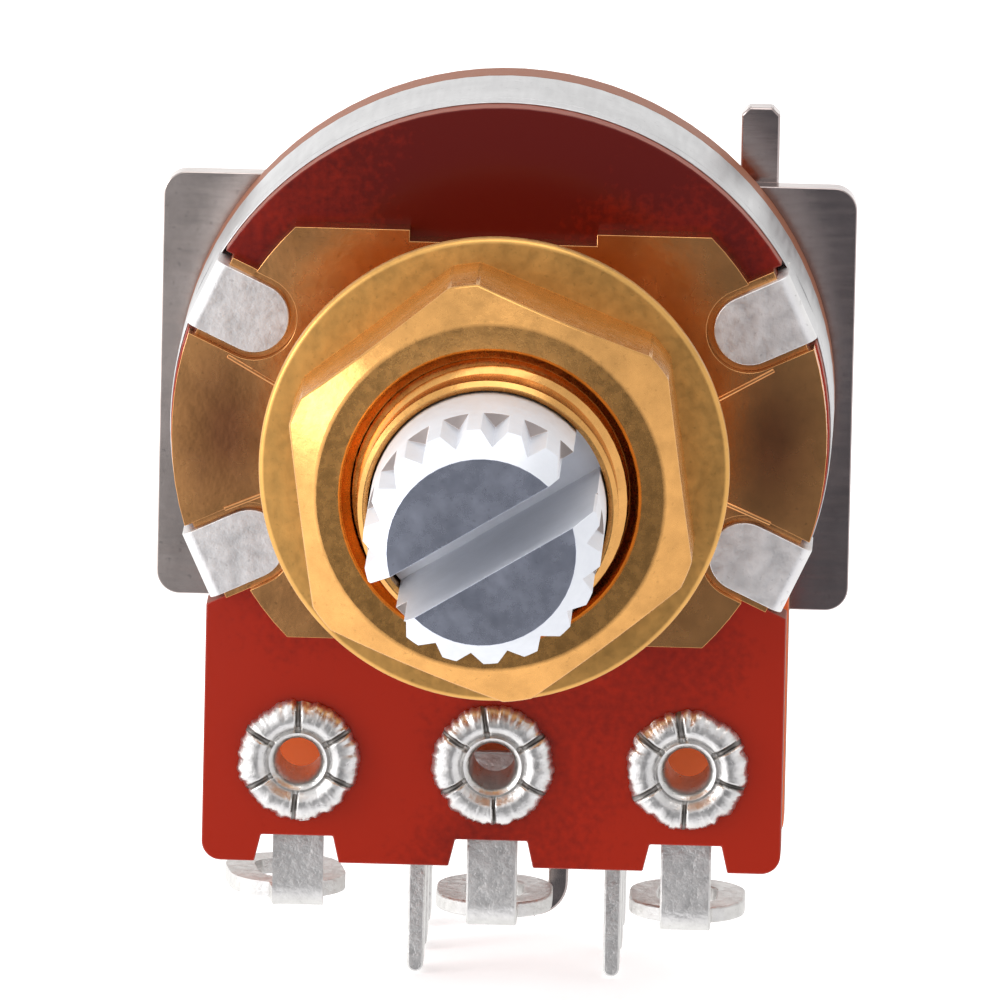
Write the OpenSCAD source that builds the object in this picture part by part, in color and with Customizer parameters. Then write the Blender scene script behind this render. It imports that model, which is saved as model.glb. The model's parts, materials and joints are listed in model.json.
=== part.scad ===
// Rotary potentiometer with a push-pull switch behind it.
// Origin: on the shaft axis, at the front face of the front plate.
// The shaft points to -Y, +X is right as seen from the front, the terminals hang to -Z.
// Most pieces are drawn facing the viewer: x right, y up, z forward along the shaft.
// Sizes grow outwards from the shaft: bushing and nut in front, rotor, films, can and cage behind.

/* [Shaft] */
// Diameter over the shaft and over the tips of its splines
shaft_d = 6; // [5:0.05:6.35]
// Length of the shaft in front of the bushing, pushed in
shaft_reach = 5.6; // [5:0.1:14]
// Length of the splined end, its chamfer included
knurl_len = 3; // [2:0.1:4.5]
// Number of splines
spline_n = 18; // [12:1:24]
// Depth of the grooves between splines
spline_depth = 0.36; // [0.2:0.01:0.45]
// Angle of the first groove from +x
spline_phase = 5.35; // [0:0.05:20]
// How far the chamfer narrows the end, on each side
tip_rim = 0.615; // [0.3:0.005:0.8]
// Length of that chamfer
tip_chamfer = 0.75; // [0.3:0.05:1]
// Width of the screwdriver slot
slot_w = 1.2; // [0.8:0.05:1.5]
// Depth of the slot from the end face
slot_depth = 6.5; // [2:0.1:7]
// Angle of the slot from +x
slot_angle = 31.5; // [0:0.5:90]
// How far the shaft pulls out, which is also one step of the switch
travel = 3; // [2.8:0.1:3.2]
// How much thinner the part that drives the rotor is, on each side
drive_step = 0.5; // [0.4:0.05:0.7]
// Depth of each of its two flats
flat_depth = 0.5; // [0.3:0.05:0.6]
// How much thinner the neck behind it is than across the flats, on each side
neck_step = 0.6; // [0.4:0.05:0.8]
// How far the head stands out from the neck, on each side
head_step = 0.8; // [0.6:0.05:0.9]
// Thickness of that head
head_t = 1; // [0.8:0.1:1.4]

/* [Bushing, nut and washer] */
// Wall of the bushing under the thread's crests
bushing_wall = 0.45; // [0.4:0.01:0.6]
// Length of the bushing in front of the plate
bushing_len = 9.7; // [9:0.1:12]
// Chamfer at the free end of the bushing
bushing_chamfer = 0.2; // [0.1:0.05:0.4]
// How far the shoulder stands out from the thread
shoulder_rim = 1; // [0.6:0.05:1.4]
// Height of that shoulder
shoulder_h = 0.8; // [0.5:0.1:1.5]
// How far the neck that is staked in the plate stands out from the thread
stake_rim = 0.5; // [0.3:0.05:0.55]
// Room for the panel between the front plate and the washer
panel_room = 3.95; // [2:0.05:3.95]
// How far the washer stands out from the nut's flats
washer_rim = 1.15; // [0.6:0.05:2]
// Gap between the washer and the thread
washer_play = 0.3; // [0.1:0.05:0.4]
// Thickness of the washer
washer_t = 0.5; // [0.3:0.05:1]
// Nut, wall between the thread and a flat
nut_wall = 1.35; // [1.2:0.05:2]
// Nut, thickness
nut_t = 3.65; // [3:0.05:4.2]
// Nut, angle of the first corner from +x
nut_turn = 38.5; // [0:0.5:60]
// Nut, how far its corners are turned off
nut_round = 0.2; // [0.05:0.05:0.4]
// Nut, distance from a flat to the turned front face
nut_land = 0.4; // [0.1:0.05:0.5]
// Nut, how far the countersink widens the thread
sink_rim = 0.3; // [0.2:0.05:0.6]
// Nut, depth of the countersink
sink_depth = 0.4; // [0.2:0.05:0.8]

/* [Front plate] */
// How far the two ears stay inside the can's outline
ear_inset = 0.1; // [0:0.05:0.4]
// How far the plate stays inside the can's outline above and below the ears
field_inset = 0.95; // [0.7:0.05:1.2]
// Height between the upper and lower straight edges
plate_h = 10.7; // [10.2:0.1:12]
// Thickness
plate_t = 0.8; // [0.6:0.05:1.2]
// Width of the step in the upper edge
step_w = 4.8; // [3:0.1:6]
// Depth of that step
step_depth = 0.3; // [0.1:0.05:0.5]
// Gap round a folded tab in its coined seat
seat_play = 0.2; // [0.1:0.05:0.3]
// Length of a seat from the can's wall inwards
seat_len = 2.25; // [2:0.05:2.4]

/* [Element board] */
// How far the round part stays inside the can's outline
wafer_inset = 0.05; // [0:0.05:0.3]
// Thickness
wafer_t = 1.2; // [0.8:0.1:1.6]
// Distance from an outer terminal to the board's side
wafer_side = 2.45; // [2:0.05:3]
// Distance from the eyelets down to the board's lower edge
wafer_foot = 2.7; // [2.5:0.05:3.5]
// Radius of the lower corners
wafer_corner = 0.5; // [0.2:0.05:1]
// Gap between the board and the hub of the rotor
hub_play = 0.2; // [0.1:0.05:0.3]
// Width of the notch under each terminal, at the board's edge
notch_w = 2.2; // [1.8:0.1:2.6]
// Width of that notch at its inner end
notch_inner_w = 1.85; // [1.5:0.05:2]
// Depth of that notch
notch_depth = 0.7; // [0.4:0.05:1]
// Thickness of the printed films
film_t = 0.05; // [0.03:0.01:0.08]
// Width of the collector ring
collector_w = 0.6; // [0.4:0.05:0.8]
// Bare board between the hub hole and the collector ring
collector_margin = 0.3; // [0.2:0.05:0.4]
// Width of the resistive track
track_w = 1.2; // [0.8:0.1:1.4]
// Bare board between the collector ring and the track
film_space = 0.5; // [0.3:0.05:0.7]
// Angle left open in the track at the bottom
track_gap = 60; // [50:1:80]
// Width of the printed leads to the terminals
lead_w = 0.9; // [0.6:0.1:1.1]

/* [Terminals] */
// Distance between neighbouring terminals
terminal_pitch = 5; // [4.8:0.1:5.1]
// How far the eyelets' centres lie below the can
eyelet_below = 0.2; // [0.1:0.05:0.5]
// Diameter of the rolled head of an eyelet
eyelet_d = 3.2; // [2.6:0.1:3.4]
// Height of that head
eyelet_h = 0.45; // [0.3:0.05:0.6]
// How far the head stands out from the flange behind
head_over = 0.3; // [0.2:0.05:0.4]
// Thickness of the flange behind
flange_t = 0.25; // [0.2:0.05:0.3]
// Wall of the barrel
barrel_wall = 0.35; // [0.25:0.05:0.4]
// Hole through the eyelet
eyelet_hole = 1.1; // [0.8:0.05:1.2]
// Number of staking grooves
stake_n = 6; // [4:1:8]
// Width of a staking groove
stake_w = 0.3; // [0.2:0.05:0.4]
// Thickness of the terminal strip
lug_t = 0.4; // [0.3:0.05:0.5]
// Width of the terminal strip
lug_w = 1.3; // [1:0.05:1.6]
// Distance from the board's lower edge down to the underside of the lugs
lug_below = 1.9; // [1.6:0.1:2.6]
// How much higher the left lug is bent
left_lug_lift = 0.4; // [0:0.05:0.5]
// Twist of the left lug
left_lug_twist = 9; // [0:1:12]
// Inner radius of the bend
lug_bend = 0.3; // [0.2:0.05:0.5]
// Width of the solder ring
ring_w = 3; // [2.6:0.1:3.2]
// Length of the solder ring
ring_len = 3.9; // [3.2:0.1:4]
// Width of the hole in the solder ring
ring_hole_w = 1.5; // [1:0.05:1.7]
// Distance from the element board back to the middle of the ring
ring_back = 3.4; // [3.2:0.1:3.6]

/* [Can] */
// Gap between the rotor's stop lug and the can's wall
can_room = 0.75; // [0.5:0.05:0.9]
// Sheet thickness
can_t = 0.35; // [0.25:0.05:0.4]
// Angle of the folded tabs from the horizontal
tab_angle = 25; // [22:0.5:27]
// Width of the folded tabs
tab_w = 1.8; // [1.4:0.05:1.9]
// Outer radius of the fold
tab_fold = 0.3; // [0.2:0.05:0.33]
// Gap between the shaft and the hole in the floor
floor_play = 0.5; // [0.4:0.05:0.7]
// Distance from the board's side to the cut in the rim for the terminals
rim_cut_side = 0.75; // [0.6:0.05:0.9]
// Depth of that cut
rim_cut_depth = 0.7; // [0.65:0.05:1]
// Angle from the bottom to each stop tab inside the can
stop_angle = 17.5; // [16:0.5:18]
// Width of a stop tab
stop_w = 1; // [0.8:0.1:1.2]
// Gap between the rotor's disc and a stop tab
stop_gap = 0.4; // [0.3:0.05:0.6]

/* [Rear board and rivets] */
// Thickness of the board behind the can
board_t = 1.15; // [0.8:0.05:1.6]
// Gap between the shaft and the holes behind the can
hole_play = 0.3; // [0.25:0.05:0.5]
// How far each rivet lies outside the rotor's disc, sideways
rivet_out = 0.4; // [0.35:0.05:0.5]
// Distance from the shaft axis to each rivet, up and down
rivet_y = 2.2; // [2:0.05:2.25]
// Rivet shank diameter
rivet_d = 1; // [0.8:0.1:1.2]
// How far a rivet's head stands out from its shank
rivet_rim = 0.3; // [0.2:0.05:0.3]
// Rivet head height
rivet_head_h = 0.35; // [0.25:0.05:0.4]
// Strip seen through the middle eyelet, how far it lies below the eyelet
link_drop = 0.8; // [0.5:0.05:1.2]
// Strip behind the middle eyelet, width
link_w = 3.2; // [2:0.1:4]
// Strip behind the middle eyelet, height
link_h = 0.55; // [0.3:0.05:0.8]
// Strip behind the middle eyelet, thickness
link_t = 0.3; // [0.2:0.05:0.4]

/* [Switch cage] */
// How far the front wall stands out beside the can
cage_side = 0.45; // [0.2:0.05:1]
// Sheet thickness
cage_t = 0.65; // [0.5:0.05:0.7]
// Radius of the front wall's corners
cage_corner = 0.6; // [0.3:0.1:1.6]
// Outer radius of the bends
cage_bend = 1; // [0.8:0.05:1.2]
// Distance from a rivet to the side of the strip that is bent over the switch
strip_inset = 0.7; // [0.65:0.05:0.8]
// How far the guide lips reach down from the top
lip_h = 2.65; // [2:0.05:3.2]
// Distance from the front wall to the guide lips
lip_start = 1.3; // [1.2:0.05:1.5]
// Width of the relief cut beside each bend
relief_w = 0.35; // [0.2:0.05:0.4]
// Sight hole in the rear wall
sight_d = 5; // [3:0.1:5.5]
// Width of the four tabs folded under the switch base
foot_w = 1.6; // [1.2:0.1:1.8]
// Distance from the strip's side to the middle of those tabs
foot_inset = 1; // [0.9:0.05:1.2]
// Length of those tabs
foot_len = 1.5; // [1:0.1:1.8]
// Width of the ground tab
ground_w = 1; // [0.8:0.05:1.1]
// How far its eye stands out from the rivet's head
ground_rim = 0.15; // [0.1:0.05:0.15]
// How far the ground tab stands above the front wall
ground_rise = 1.95; // [1:0.05:2.5]

/* [Switch] */
// Thickness of the switch base
base_t = 1.2; // [1:0.1:1.4]
// Distance between the two columns of contacts
column_pitch = 5.1; // [5:0.05:5.2]
// Sideways offset of the contacts from the shaft axis
contact_shift = 0.45; // [0.3:0.05:0.5]
// Distance from the cage's lower edge down to the pin tips
pin_below = 10.25; // [8:0.05:11]
// Thickness of a pin at the base
pin_w = 0.52; // [0.45:0.01:0.6]
// Thickness of a pin at its tip
pin_tip_w = 0.42; // [0.3:0.01:0.45]
// Width of a pin along the shaft
pin_len = 1.1; // [0.8:0.05:1.3]
// Width of a fixed contact
pad_w = 1.5; // [1.2:0.05:1.6]
// Gap between neighbouring fixed contacts
pad_space = 0.8; // [0.6:0.05:1]
// Thickness of a fixed contact
pad_t = 0.35; // [0.25:0.05:0.45]
// Distance from the front wall to the first row of contacts
row_start = 1.85; // [1.7:0.05:1.9]
// Distance from the cage's lower edge down to the end of the hooked strip
hook_below = 8.45; // [7:0.05:9.5]
// Distance of the hooked strip from the right column of contacts
hook_side = 1.4; // [1.3:0.05:1.5]
// Thickness of the hooked strip
hook_t = 0.5; // [0.4:0.05:0.55]
// Width of the hooked strip along the shaft
hook_w = 0.9; // [0.7:0.05:1]
// Gap between the front wall and the hooked strip
hook_gap = 0.25; // [0.2:0.05:0.35]
// Outer radius of its curl
hook_bend = 0.9; // [0.7:0.05:1]
// Length of its end beyond the curl
hook_tail = 0.7; // [0.5:0.05:0.9]
// Slider wall above the head of the shaft
head_cover = 1; // [0.9:0.05:1.3]
// Slider wall below the head of the shaft
head_floor = 0.7; // [0.6:0.05:0.8]
// Height of the slider above the fixed contacts
slider_lift = 1.1; // [1:0.05:1.2]
// Room in front of the slider when the shaft is pulled out
front_room = 0.35; // [0.3:0.05:0.5]
// Slider wall behind the moving contacts
slider_end = 0.8; // [0.6:0.05:1]
// Room behind the slider
rear_room = 0.5; // [0.3:0.05:0.8]
// Thickness of the slider wall that sits in the neck of the shaft
fork_t = 1.2; // [1:0.05:1.3]
// Thickness of the moving contact strips
bridge_t = 0.25; // [0.15:0.05:0.3]
// Width of the moving contact strips
bridge_w = 1.3; // [1:0.05:1.4]
// Detent ball diameter
ball_d = 1.5; // [1.2:0.1:1.6]
// Distance from the slider's left side to the ball
ball_inset = 1.35; // [1.3:0.05:1.5]
// Distance from the middle of the moving contacts forward to the ball
ball_back = 0.8; // [0.6:0.1:1]

/* [Rotor] */
// Wall of the hub round the shaft
hub_wall = 0.9; // [0.7:0.05:1]
// How far the disc reaches beyond the middle of the track
rotor_rim = 0.4; // [0.3:0.05:0.5]
// Thickness of the disc
rotor_t = 1.3; // [1:0.05:1.4]
// Room between the disc and the floor of the can
rotor_room = 0.85; // [0.7:0.05:1.2]
// Gap between the element board and the disc
wiper_room = 0.75; // [0.6:0.05:0.8]
// Length of the stop lug
stop_len = 1.4; // [1.2:0.05:1.6]
// Width of the stop lug
stop_lug_w = 1.6; // [1.2:0.1:1.8]
// Thickness of the wiper
wiper_t = 0.2; // [0.15:0.05:0.25]
// Width of the wiper's arm to the track
wiper_arm_w = 1.8; // [1.6:0.1:2]
// Width of a wiper finger
finger_w = 0.35; // [0.25:0.05:0.4]

/* [Clearances] */
// Radial clearance of the shaft in the bushing and in the rotor
shaft_fit = 0.05; // [0.02:0.01:0.1]
// Clearance of the neck in the slider
neck_fit = 0.06; // [0.03:0.01:0.1]
// Gap between parts that slide or turn past each other
run_gap = 0.1; // [0.05:0.01:0.15]
// Gap between a moving contact and what it slides on
touch_gap = 0.03; // [0.02:0.01:0.05]
// Radial gap between the nut and the thread
thread_fit = 0.03; // [0.02:0.01:0.08]

/* [Hidden] */
$fn = 64;
// Overlap that joins two shapes of one piece
join = 0.05;
// How far a cut runs clear of a face
clear = 1;
// Shaft, from its tip to its head
shaft_r = shaft_d / 2;
bore_r = shaft_r + shaft_fit;
shaft_tip = bushing_len + shaft_reach;
knurl_start = shaft_tip - knurl_len;
tip_face_d = shaft_d - 2 * tip_rim;
drive_d = shaft_d - 2 * drive_step;
drive_flats = drive_d - 2 * flat_depth;
neck_d = drive_flats - 2 * neck_step;
head_d = neck_d + 2 * head_step;
// Bushing, washer and nut, round the shaft
thread_d = 2 * (bore_r + bushing_wall);
shoulder_d = thread_d + 2 * shoulder_rim;
stake_d = thread_d + 2 * stake_rim;
nut_af = thread_d + 2 * nut_wall;
nut_face_d = nut_af - 2 * nut_land;
nut_sink_d = thread_d + 2 * sink_rim;
washer_bore = thread_d + 2 * washer_play;
washer_d = nut_af + 2 * washer_rim;
washer_front = panel_room + washer_t;
nut_front = washer_front + nut_t;
// Rotor and films, round the shaft's drive part, and the can round the rotor
hub_d = drive_d + 2 * hub_wall;
hub_hole_d = hub_d + 2 * hub_play;
collector_d = hub_hole_d + 2 * collector_margin + collector_w;
track_d = collector_d + collector_w + 2 * film_space + track_w;
rotor_d = track_d + 2 * rotor_rim;
stop_reach = rotor_d / 2 + stop_len;
can_in_r = stop_reach + can_room;
can_d = 2 * (can_in_r + can_t);
floor_hole_d = drive_d + 2 * floor_play;
shaft_hole_d = drive_d + 2 * hole_play;
// Front plate and boards, from the can
plate_d = can_d - 2 * ear_inset;
plate_field_d = can_d - 2 * field_inset;
seat_w = tab_w + 2 * seat_play;
seat_start = can_in_r - seat_len;
tab_tip = seat_start + seat_play;
wafer_d = can_d - 2 * wafer_inset;
wafer_w = 2 * (terminal_pitch + wafer_side);
rim_cut_w = wafer_w - 2 * rim_cut_side;
eyelet_drop = can_d / 2 + eyelet_below;
wafer_drop = eyelet_drop + wafer_foot;
lug_drop = wafer_drop + lug_below;
pad_r = eyelet_d / 2 - head_over;
barrel_d = eyelet_hole + 2 * barrel_wall;
terminal_x = [-terminal_pitch, 0, terminal_pitch];
// Planes along the shaft
wafer_front = -plate_t;
wafer_rear = wafer_front - wafer_t;
disc_front = wafer_rear - wiper_room;
disc_rear = disc_front - rotor_t;
can_floor = disc_rear - rotor_room;
can_rear = can_floor - can_t;
board_rear = can_rear - board_t;
cage_front = board_rear;
cage_inside = cage_front - cage_t;
hub_front = wafer_front - run_gap;
hub_rear = can_floor + run_gap;
drive_front = wafer_front + 0.2;
// The slider rests at the back, and its front moves forward by the travel
rows = [for (i = [0:2]) cage_inside - row_start - i * travel];
bridge_z = (rows[1] + rows[2]) / 2;
bridge_r = travel / 2 + 0.25;
slider_front = cage_inside - travel - front_room;
slider_rear = bridge_z - bridge_r - bridge_t - slider_end;
cage_back = slider_rear - rear_room;
cage_rear = cage_back - cage_t;
cage_len = cage_inside - cage_back;
neck_front = slider_front + neck_fit;
neck_back = slider_front - fork_t - neck_fit;
head_back = neck_back - head_t;
ball_z = bridge_z - ball_back;
// Heights in the switch, from the shaft's head up and down
slider_top = head_d / 2 + head_cover;
cage_ceiling = slider_top + run_gap;
strip_top = cage_ceiling + cage_t;
slider_drop = head_d / 2 + head_floor;
pad_top = -slider_drop - slider_lift;
base_top = pad_top - pad_t;
cage_top = base_t - base_top;
cage_h = 2 * cage_top;
pin_drop = cage_top + pin_below;
hook_drop = cage_top + hook_below;
ground_top = cage_top + ground_rise;
foot_r = bridge_t / 2 + 0.04;
bridge_y = pad_top + touch_gap + foot_r;
// Places across the switch, from the rivets beside it
rivet_x = rotor_d / 2 + rivet_out;
rivet_head_d = rivet_d + 2 * rivet_rim;
ground_eye_d = rivet_head_d + 2 * ground_rim;
rivets = [for (x = [-rivet_x, rivet_x], y = [-rivet_y, rivet_y]) [x, y]];
cage_w = can_d + 2 * cage_side;
strip_w = 2 * (rivet_x - strip_inset);
foot_x = strip_w / 2 - foot_inset;
slider_w = strip_w - 2 * (cage_t + run_gap);
ball_x = -slider_w / 2 + ball_inset;
columns = [contact_shift - column_pitch / 2, contact_shift + column_pitch / 2];
pad_len = travel - pad_space;
hook_x = columns[1] - hook_side;

// Turns a piece drawn facing the viewer so that the shaft points to -Y
module facing() {
    rotate([90, 0, 0]) children();
}

// A flat outline between two planes along the shaft
module layer(back, front) {
    translate([0, 0, back]) linear_extrude(front - back) children();
}

// An outline drawn as [z, y], seen from the side and centred in x
module side_profile(width) {
    rotate([0, -90, 0]) translate([0, 0, -width / 2]) linear_extrude(width) children();
}

// An outline drawn as [x, z], lying flat with its underside at a height
module flat_profile(height, thickness) {
    translate([0, height + thickness, 0]) rotate([90, 0, 0]) linear_extrude(thickness) children();
}

// A quarter of a bent strip, from the centre of the bend
module bend_quarter(inner_r, outer_r) {
    intersection() {
        difference() {
            circle(outer_r);
            circle(inner_r);
        }
        square(outer_r + join);
    }
}

module round_rect(w, h, r) {
    square([w - 2 * r, h], center = true);
    square([w, h - 2 * r], center = true);
    for (x = [-1, 1], y = [-1, 1]) translate([x * (w / 2 - r), y * (h / 2 - r)]) circle(r);
}

// A slot shape with round ends, its length along y
module stadium(w, len) {
    square([w, len - w], center = true);
    for (end = [-1, 1]) translate([0, end * (len - w) / 2]) circle(d = w);
}

module tab_sites() {
    for (turn = [0, 180], lean = [-tab_angle, tab_angle]) rotate(turn + lean) children();
}

module tab_seat() {
    translate([seat_start + seat_w / 2, 0]) circle(d = seat_w);
    translate([seat_start + seat_w / 2, -seat_w / 2]) square([can_in_r - seat_start - seat_w / 2, seat_w]);
}

// The right ear, between the seats above and below it
module ear() {
    start = seat_w / 2 / sin(tab_angle);
    intersection() {
        circle(d = plate_d);
        polygon([
            [start, 0],
            [start + plate_d * cos(tab_angle), plate_d * sin(tab_angle)],
            [start + plate_d * cos(tab_angle), -plate_d * sin(tab_angle)]
        ]);
    }
}

module front_plate() color("goldenrod") facing() {
    seat_floor = -can_t;
    layer(wafer_front, 0) difference() {
        union() {
            intersection() {
                circle(d = plate_field_d);
                square([plate_d, plate_h], center = true);
            }
            ear();
            rotate(180) ear();
        }
        tab_sites() tab_seat();
        translate([-step_w / 2, plate_h / 2 - step_depth]) square([step_w, step_depth + clear]);
        circle(d = stake_d);
        // Opens the seats at the rim, where the field is smaller than the ears
        tab_sites() translate([can_in_r, -seat_w / 2]) square([clear, seat_w]);
    }
    layer(wafer_front, seat_floor) tab_sites() tab_seat();
}

module bushing() color("gold") facing() rotate_extrude() {
    thread_r = thread_d / 2;
    polygon([
        [bore_r, wafer_front],
        [stake_d / 2, wafer_front],
        [stake_d / 2, 0],
        [shoulder_d / 2, 0],
        [shoulder_d / 2, shoulder_h],
        [thread_r, shoulder_h],
        [thread_r, bushing_len - bushing_chamfer],
        [thread_r - bushing_chamfer, bushing_len],
        [bore_r + bushing_chamfer, bushing_len],
        [bore_r, bushing_len - bushing_chamfer]
    ]);
}

module washer() color("gold") facing() layer(panel_room, washer_front) difference() {
    circle(d = washer_d);
    circle(d = washer_bore);
}

// The corners are turned off, and the front is turned to a cone that leaves a round face
module hex_nut() color("gold") facing() {
    corner_r = nut_af / 2 / cos(30);
    turned_r = corner_r - nut_round;
    thread_r = thread_d / 2 + thread_fit;
    face_drop = (turned_r - nut_face_d / 2) * tan(30);
    difference() {
        intersection() {
            layer(washer_front, nut_front) rotate(nut_turn) circle(corner_r, $fn = 6);
            rotate_extrude() polygon([
                [0, washer_front],
                [turned_r, washer_front],
                [turned_r, nut_front - face_drop],
                [nut_face_d / 2, nut_front],
                [0, nut_front]
            ]);
        }
        rotate_extrude() polygon([
            [0, washer_front - clear],
            [thread_r, washer_front - clear],
            [thread_r, nut_front - sink_depth],
            [nut_sink_d / 2, nut_front],
            [nut_sink_d / 2, nut_front + clear],
            [0, nut_front + clear]
        ]);
    }
}

// The outline that both boards share: round above, straight-sided below
module board_outline(d, drop) {
    circle(d = d);
    translate([-wafer_w / 2, -drop + wafer_corner]) square([wafer_w, drop - wafer_corner]);
    foot_w = wafer_w - 2 * wafer_corner;
    translate([-foot_w / 2, -drop]) square([foot_w, wafer_corner + join]);
    for (side = [-1, 1]) {
        translate([side * (wafer_w / 2 - wafer_corner), -drop + wafer_corner]) circle(wafer_corner);
    }
}

module element_wafer() color("firebrick") facing() layer(wafer_rear, wafer_front) difference() {
    board_outline(wafer_d, wafer_drop);
    circle(d = hub_hole_d);
    tab_sites() translate([can_in_r, -seat_w / 2]) square([clear, seat_w]);
    for (x = terminal_x) translate([x, 0]) {
        translate([0, -eyelet_drop]) circle(d = barrel_d);
        polygon([
            [-notch_inner_w / 2, -wafer_drop + notch_depth],
            [notch_inner_w / 2, -wafer_drop + notch_depth],
            [notch_w / 2, -wafer_drop - join],
            [-notch_w / 2, -wafer_drop - join]
        ]);
    }
}

module ring(mean_d, w) {
    difference() {
        circle(d = mean_d + w);
        circle(d = mean_d - w);
    }
}

// The arc on the back of the board, with a lead to each outer terminal
module resistive_track() color("black") facing() layer(wafer_rear - film_t, wafer_rear) {
    half_gap = track_gap / 2;
    difference() {
        ring(track_d, track_w);
        polygon([for (side = [0, 1, -1]) track_d * [side * sin(half_gap), -abs(side) * cos(half_gap)]]);
    }
    difference() {
        for (side = [-1, 1]) {
            lead_turn = half_gap + lead_w / track_d * 60;
            start = track_d / 2 * [side * sin(lead_turn), -cos(lead_turn)];
            way = [side * terminal_pitch, -eyelet_drop] - start;
            translate(start) rotate(atan2(way[1], way[0])) translate([0, -lead_w / 2]) {
                square([norm(way), lead_w]);
            }
        }
        for (x = terminal_x) translate([x, -eyelet_drop]) circle(pad_r);
    }
}

module collector_ring() color("silver") facing() layer(wafer_rear - film_t, wafer_rear) difference() {
    union() {
        ring(collector_d, collector_w);
        translate([-lead_w / 2, -eyelet_drop]) square([lead_w, eyelet_drop - collector_d / 2]);
    }
    translate([0, -eyelet_drop]) circle(pad_r);
}

// A strip riveted behind the board, bent back under it into a solder ring
module terminal(x, drop, twist) color("lightgray") facing() translate([x, 0, 0]) {
    outer_r = lug_bend + lug_t;
    bend_z = wafer_rear - outer_r;
    bend_y = -drop + outer_r;
    difference() {
        union() {
            layer(wafer_rear - lug_t, wafer_rear) {
                translate([0, -eyelet_drop]) circle(pad_r);
                translate([-lug_w / 2, bend_y]) square([lug_w, -eyelet_drop - bend_y]);
            }
            side_profile(lug_w) translate([bend_z, bend_y]) mirror([0, 1]) bend_quarter(lug_bend, outer_r);
            translate([0, 0, bend_z]) rotate([0, twist, 0]) flat_profile(-drop, lug_t) difference() {
                ring_z = wafer_rear - ring_back - bend_z;
                union() {
                    translate([-lug_w / 2, ring_z]) square([lug_w, -ring_z]);
                    translate([0, ring_z]) stadium(ring_w, ring_len);
                }
                translate([0, ring_z]) stadium(ring_hole_w, ring_len - ring_w + ring_hole_w);
            }
        }
        translate([0, -eyelet_drop, wafer_rear - lug_t - clear]) cylinder(d = barrel_d, h = 2 * clear);
    }
}

module terminal_left() terminal(terminal_x[0], lug_drop - left_lug_lift, left_lug_twist);
module terminal_middle() terminal(terminal_x[1], lug_drop, 0);
module terminal_right() terminal(terminal_x[2], lug_drop, 0);

// A funnel-shaped head in front, a barrel through both pieces, a flange behind
module eyelet(x) color("whitesmoke") facing() translate([x, -eyelet_drop, 0]) difference() {
    lug_rear = wafer_rear - lug_t;
    head_r = eyelet_d / 2;
    barrel_r = barrel_d / 2;
    hole_r = eyelet_hole / 2;
    rotate_extrude() polygon([
        [hole_r, lug_rear - flange_t],
        [pad_r - flange_t / 2, lug_rear - flange_t],
        [pad_r, lug_rear],
        [barrel_r, lug_rear],
        [barrel_r, wafer_front],
        [head_r, wafer_front],
        [head_r, wafer_front + eyelet_h * 0.5],
        [head_r * 0.88, wafer_front + eyelet_h * 0.9],
        [head_r * 0.69, wafer_front + eyelet_h],
        [head_r * 0.53, wafer_front + eyelet_h * 0.75],
        [hole_r, wafer_front]
    ]);
    for (i = [0:stake_n - 1]) rotate(90 + i * 360 / stake_n) {
        translate([head_r / 2, -stake_w / 2, wafer_front + eyelet_h * 0.55]) {
            cube([head_r * 0.38, stake_w, clear]);
        }
    }
}

module eyelet_left() eyelet(terminal_x[0]);
module eyelet_middle() eyelet(terminal_x[1]);
module eyelet_right() eyelet(terminal_x[2]);

// One tab: a leg beside the boards and an end folded over the front plate
module can_tab() {
    leg_bottom = wafer_rear - join;
    tip_r = tab_w / 2;
    rotate([90, 0, 0]) translate([0, 0, -tab_w / 2]) linear_extrude(tab_w) difference() {
        translate([can_in_r, leg_bottom]) square([can_t, -leg_bottom]);
        translate([can_d / 2 - tab_fold, -tab_fold]) difference() {
            square(tab_fold + join);
            circle(tab_fold);
        }
    }
    layer(-can_t, 0) {
        translate([tab_tip + tip_r, -tab_w / 2]) square([can_in_r - tab_tip - tip_r + join, tab_w]);
        translate([tab_tip + tip_r, 0]) circle(tip_r);
    }
}

module rivet_holes(back, front) {
    layer(back - clear, front + clear) for (p = rivets) translate(p) circle(d = rivet_d);
}

module can() color("silver") facing() {
    difference() {
        union() {
            layer(can_rear, wafer_rear) difference() {
                circle(d = can_d);
                circle(can_in_r);
            }
            layer(can_rear, can_floor) circle(d = can_d - can_t);
        }
        translate([-rim_cut_w / 2, -can_d, wafer_rear - rim_cut_depth]) {
            cube([rim_cut_w, can_d, rim_cut_depth + clear]);
        }
        translate([0, 0, can_rear - clear]) cylinder(d = floor_hole_d, h = can_t + 2 * clear);
        rivet_holes(can_rear, can_floor);
    }
    tab_sites() can_tab();
    // Stop tabs lanced out of the floor
    for (side = [-1, 1]) rotate(-90 + side * stop_angle) {
        start = rotor_d / 2 + stop_gap;
        translate([start, -stop_w / 2, can_rear]) {
            cube([can_in_r + join - start, stop_w, disc_front - can_rear]);
        }
    }
}

module rear_board() color("peru") facing() layer(board_rear, can_rear) difference() {
    board_outline(can_d, wafer_drop);
    circle(d = shaft_hole_d);
    for (p = rivets) translate(p) circle(d = rivet_d);
}

// A short strip on the rear board that shows through the middle eyelet
module link_strip() color("lightgray") facing() layer(can_rear, can_rear + link_t) {
    translate([0, -eyelet_drop - link_drop]) square([link_w, link_h], center = true);
}

// Joins the can, the rear board and the cage, and ends at a given plane
module rivet(p, back) color("silver") facing() translate([p[0], p[1], 0]) {
    layer(can_floor, can_floor + rivet_head_h) circle(d = rivet_head_d);
    layer(back - join, can_floor + join) circle(d = rivet_d);
    layer(back - rivet_head_h, back) circle(d = rivet_head_d);
}

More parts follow.
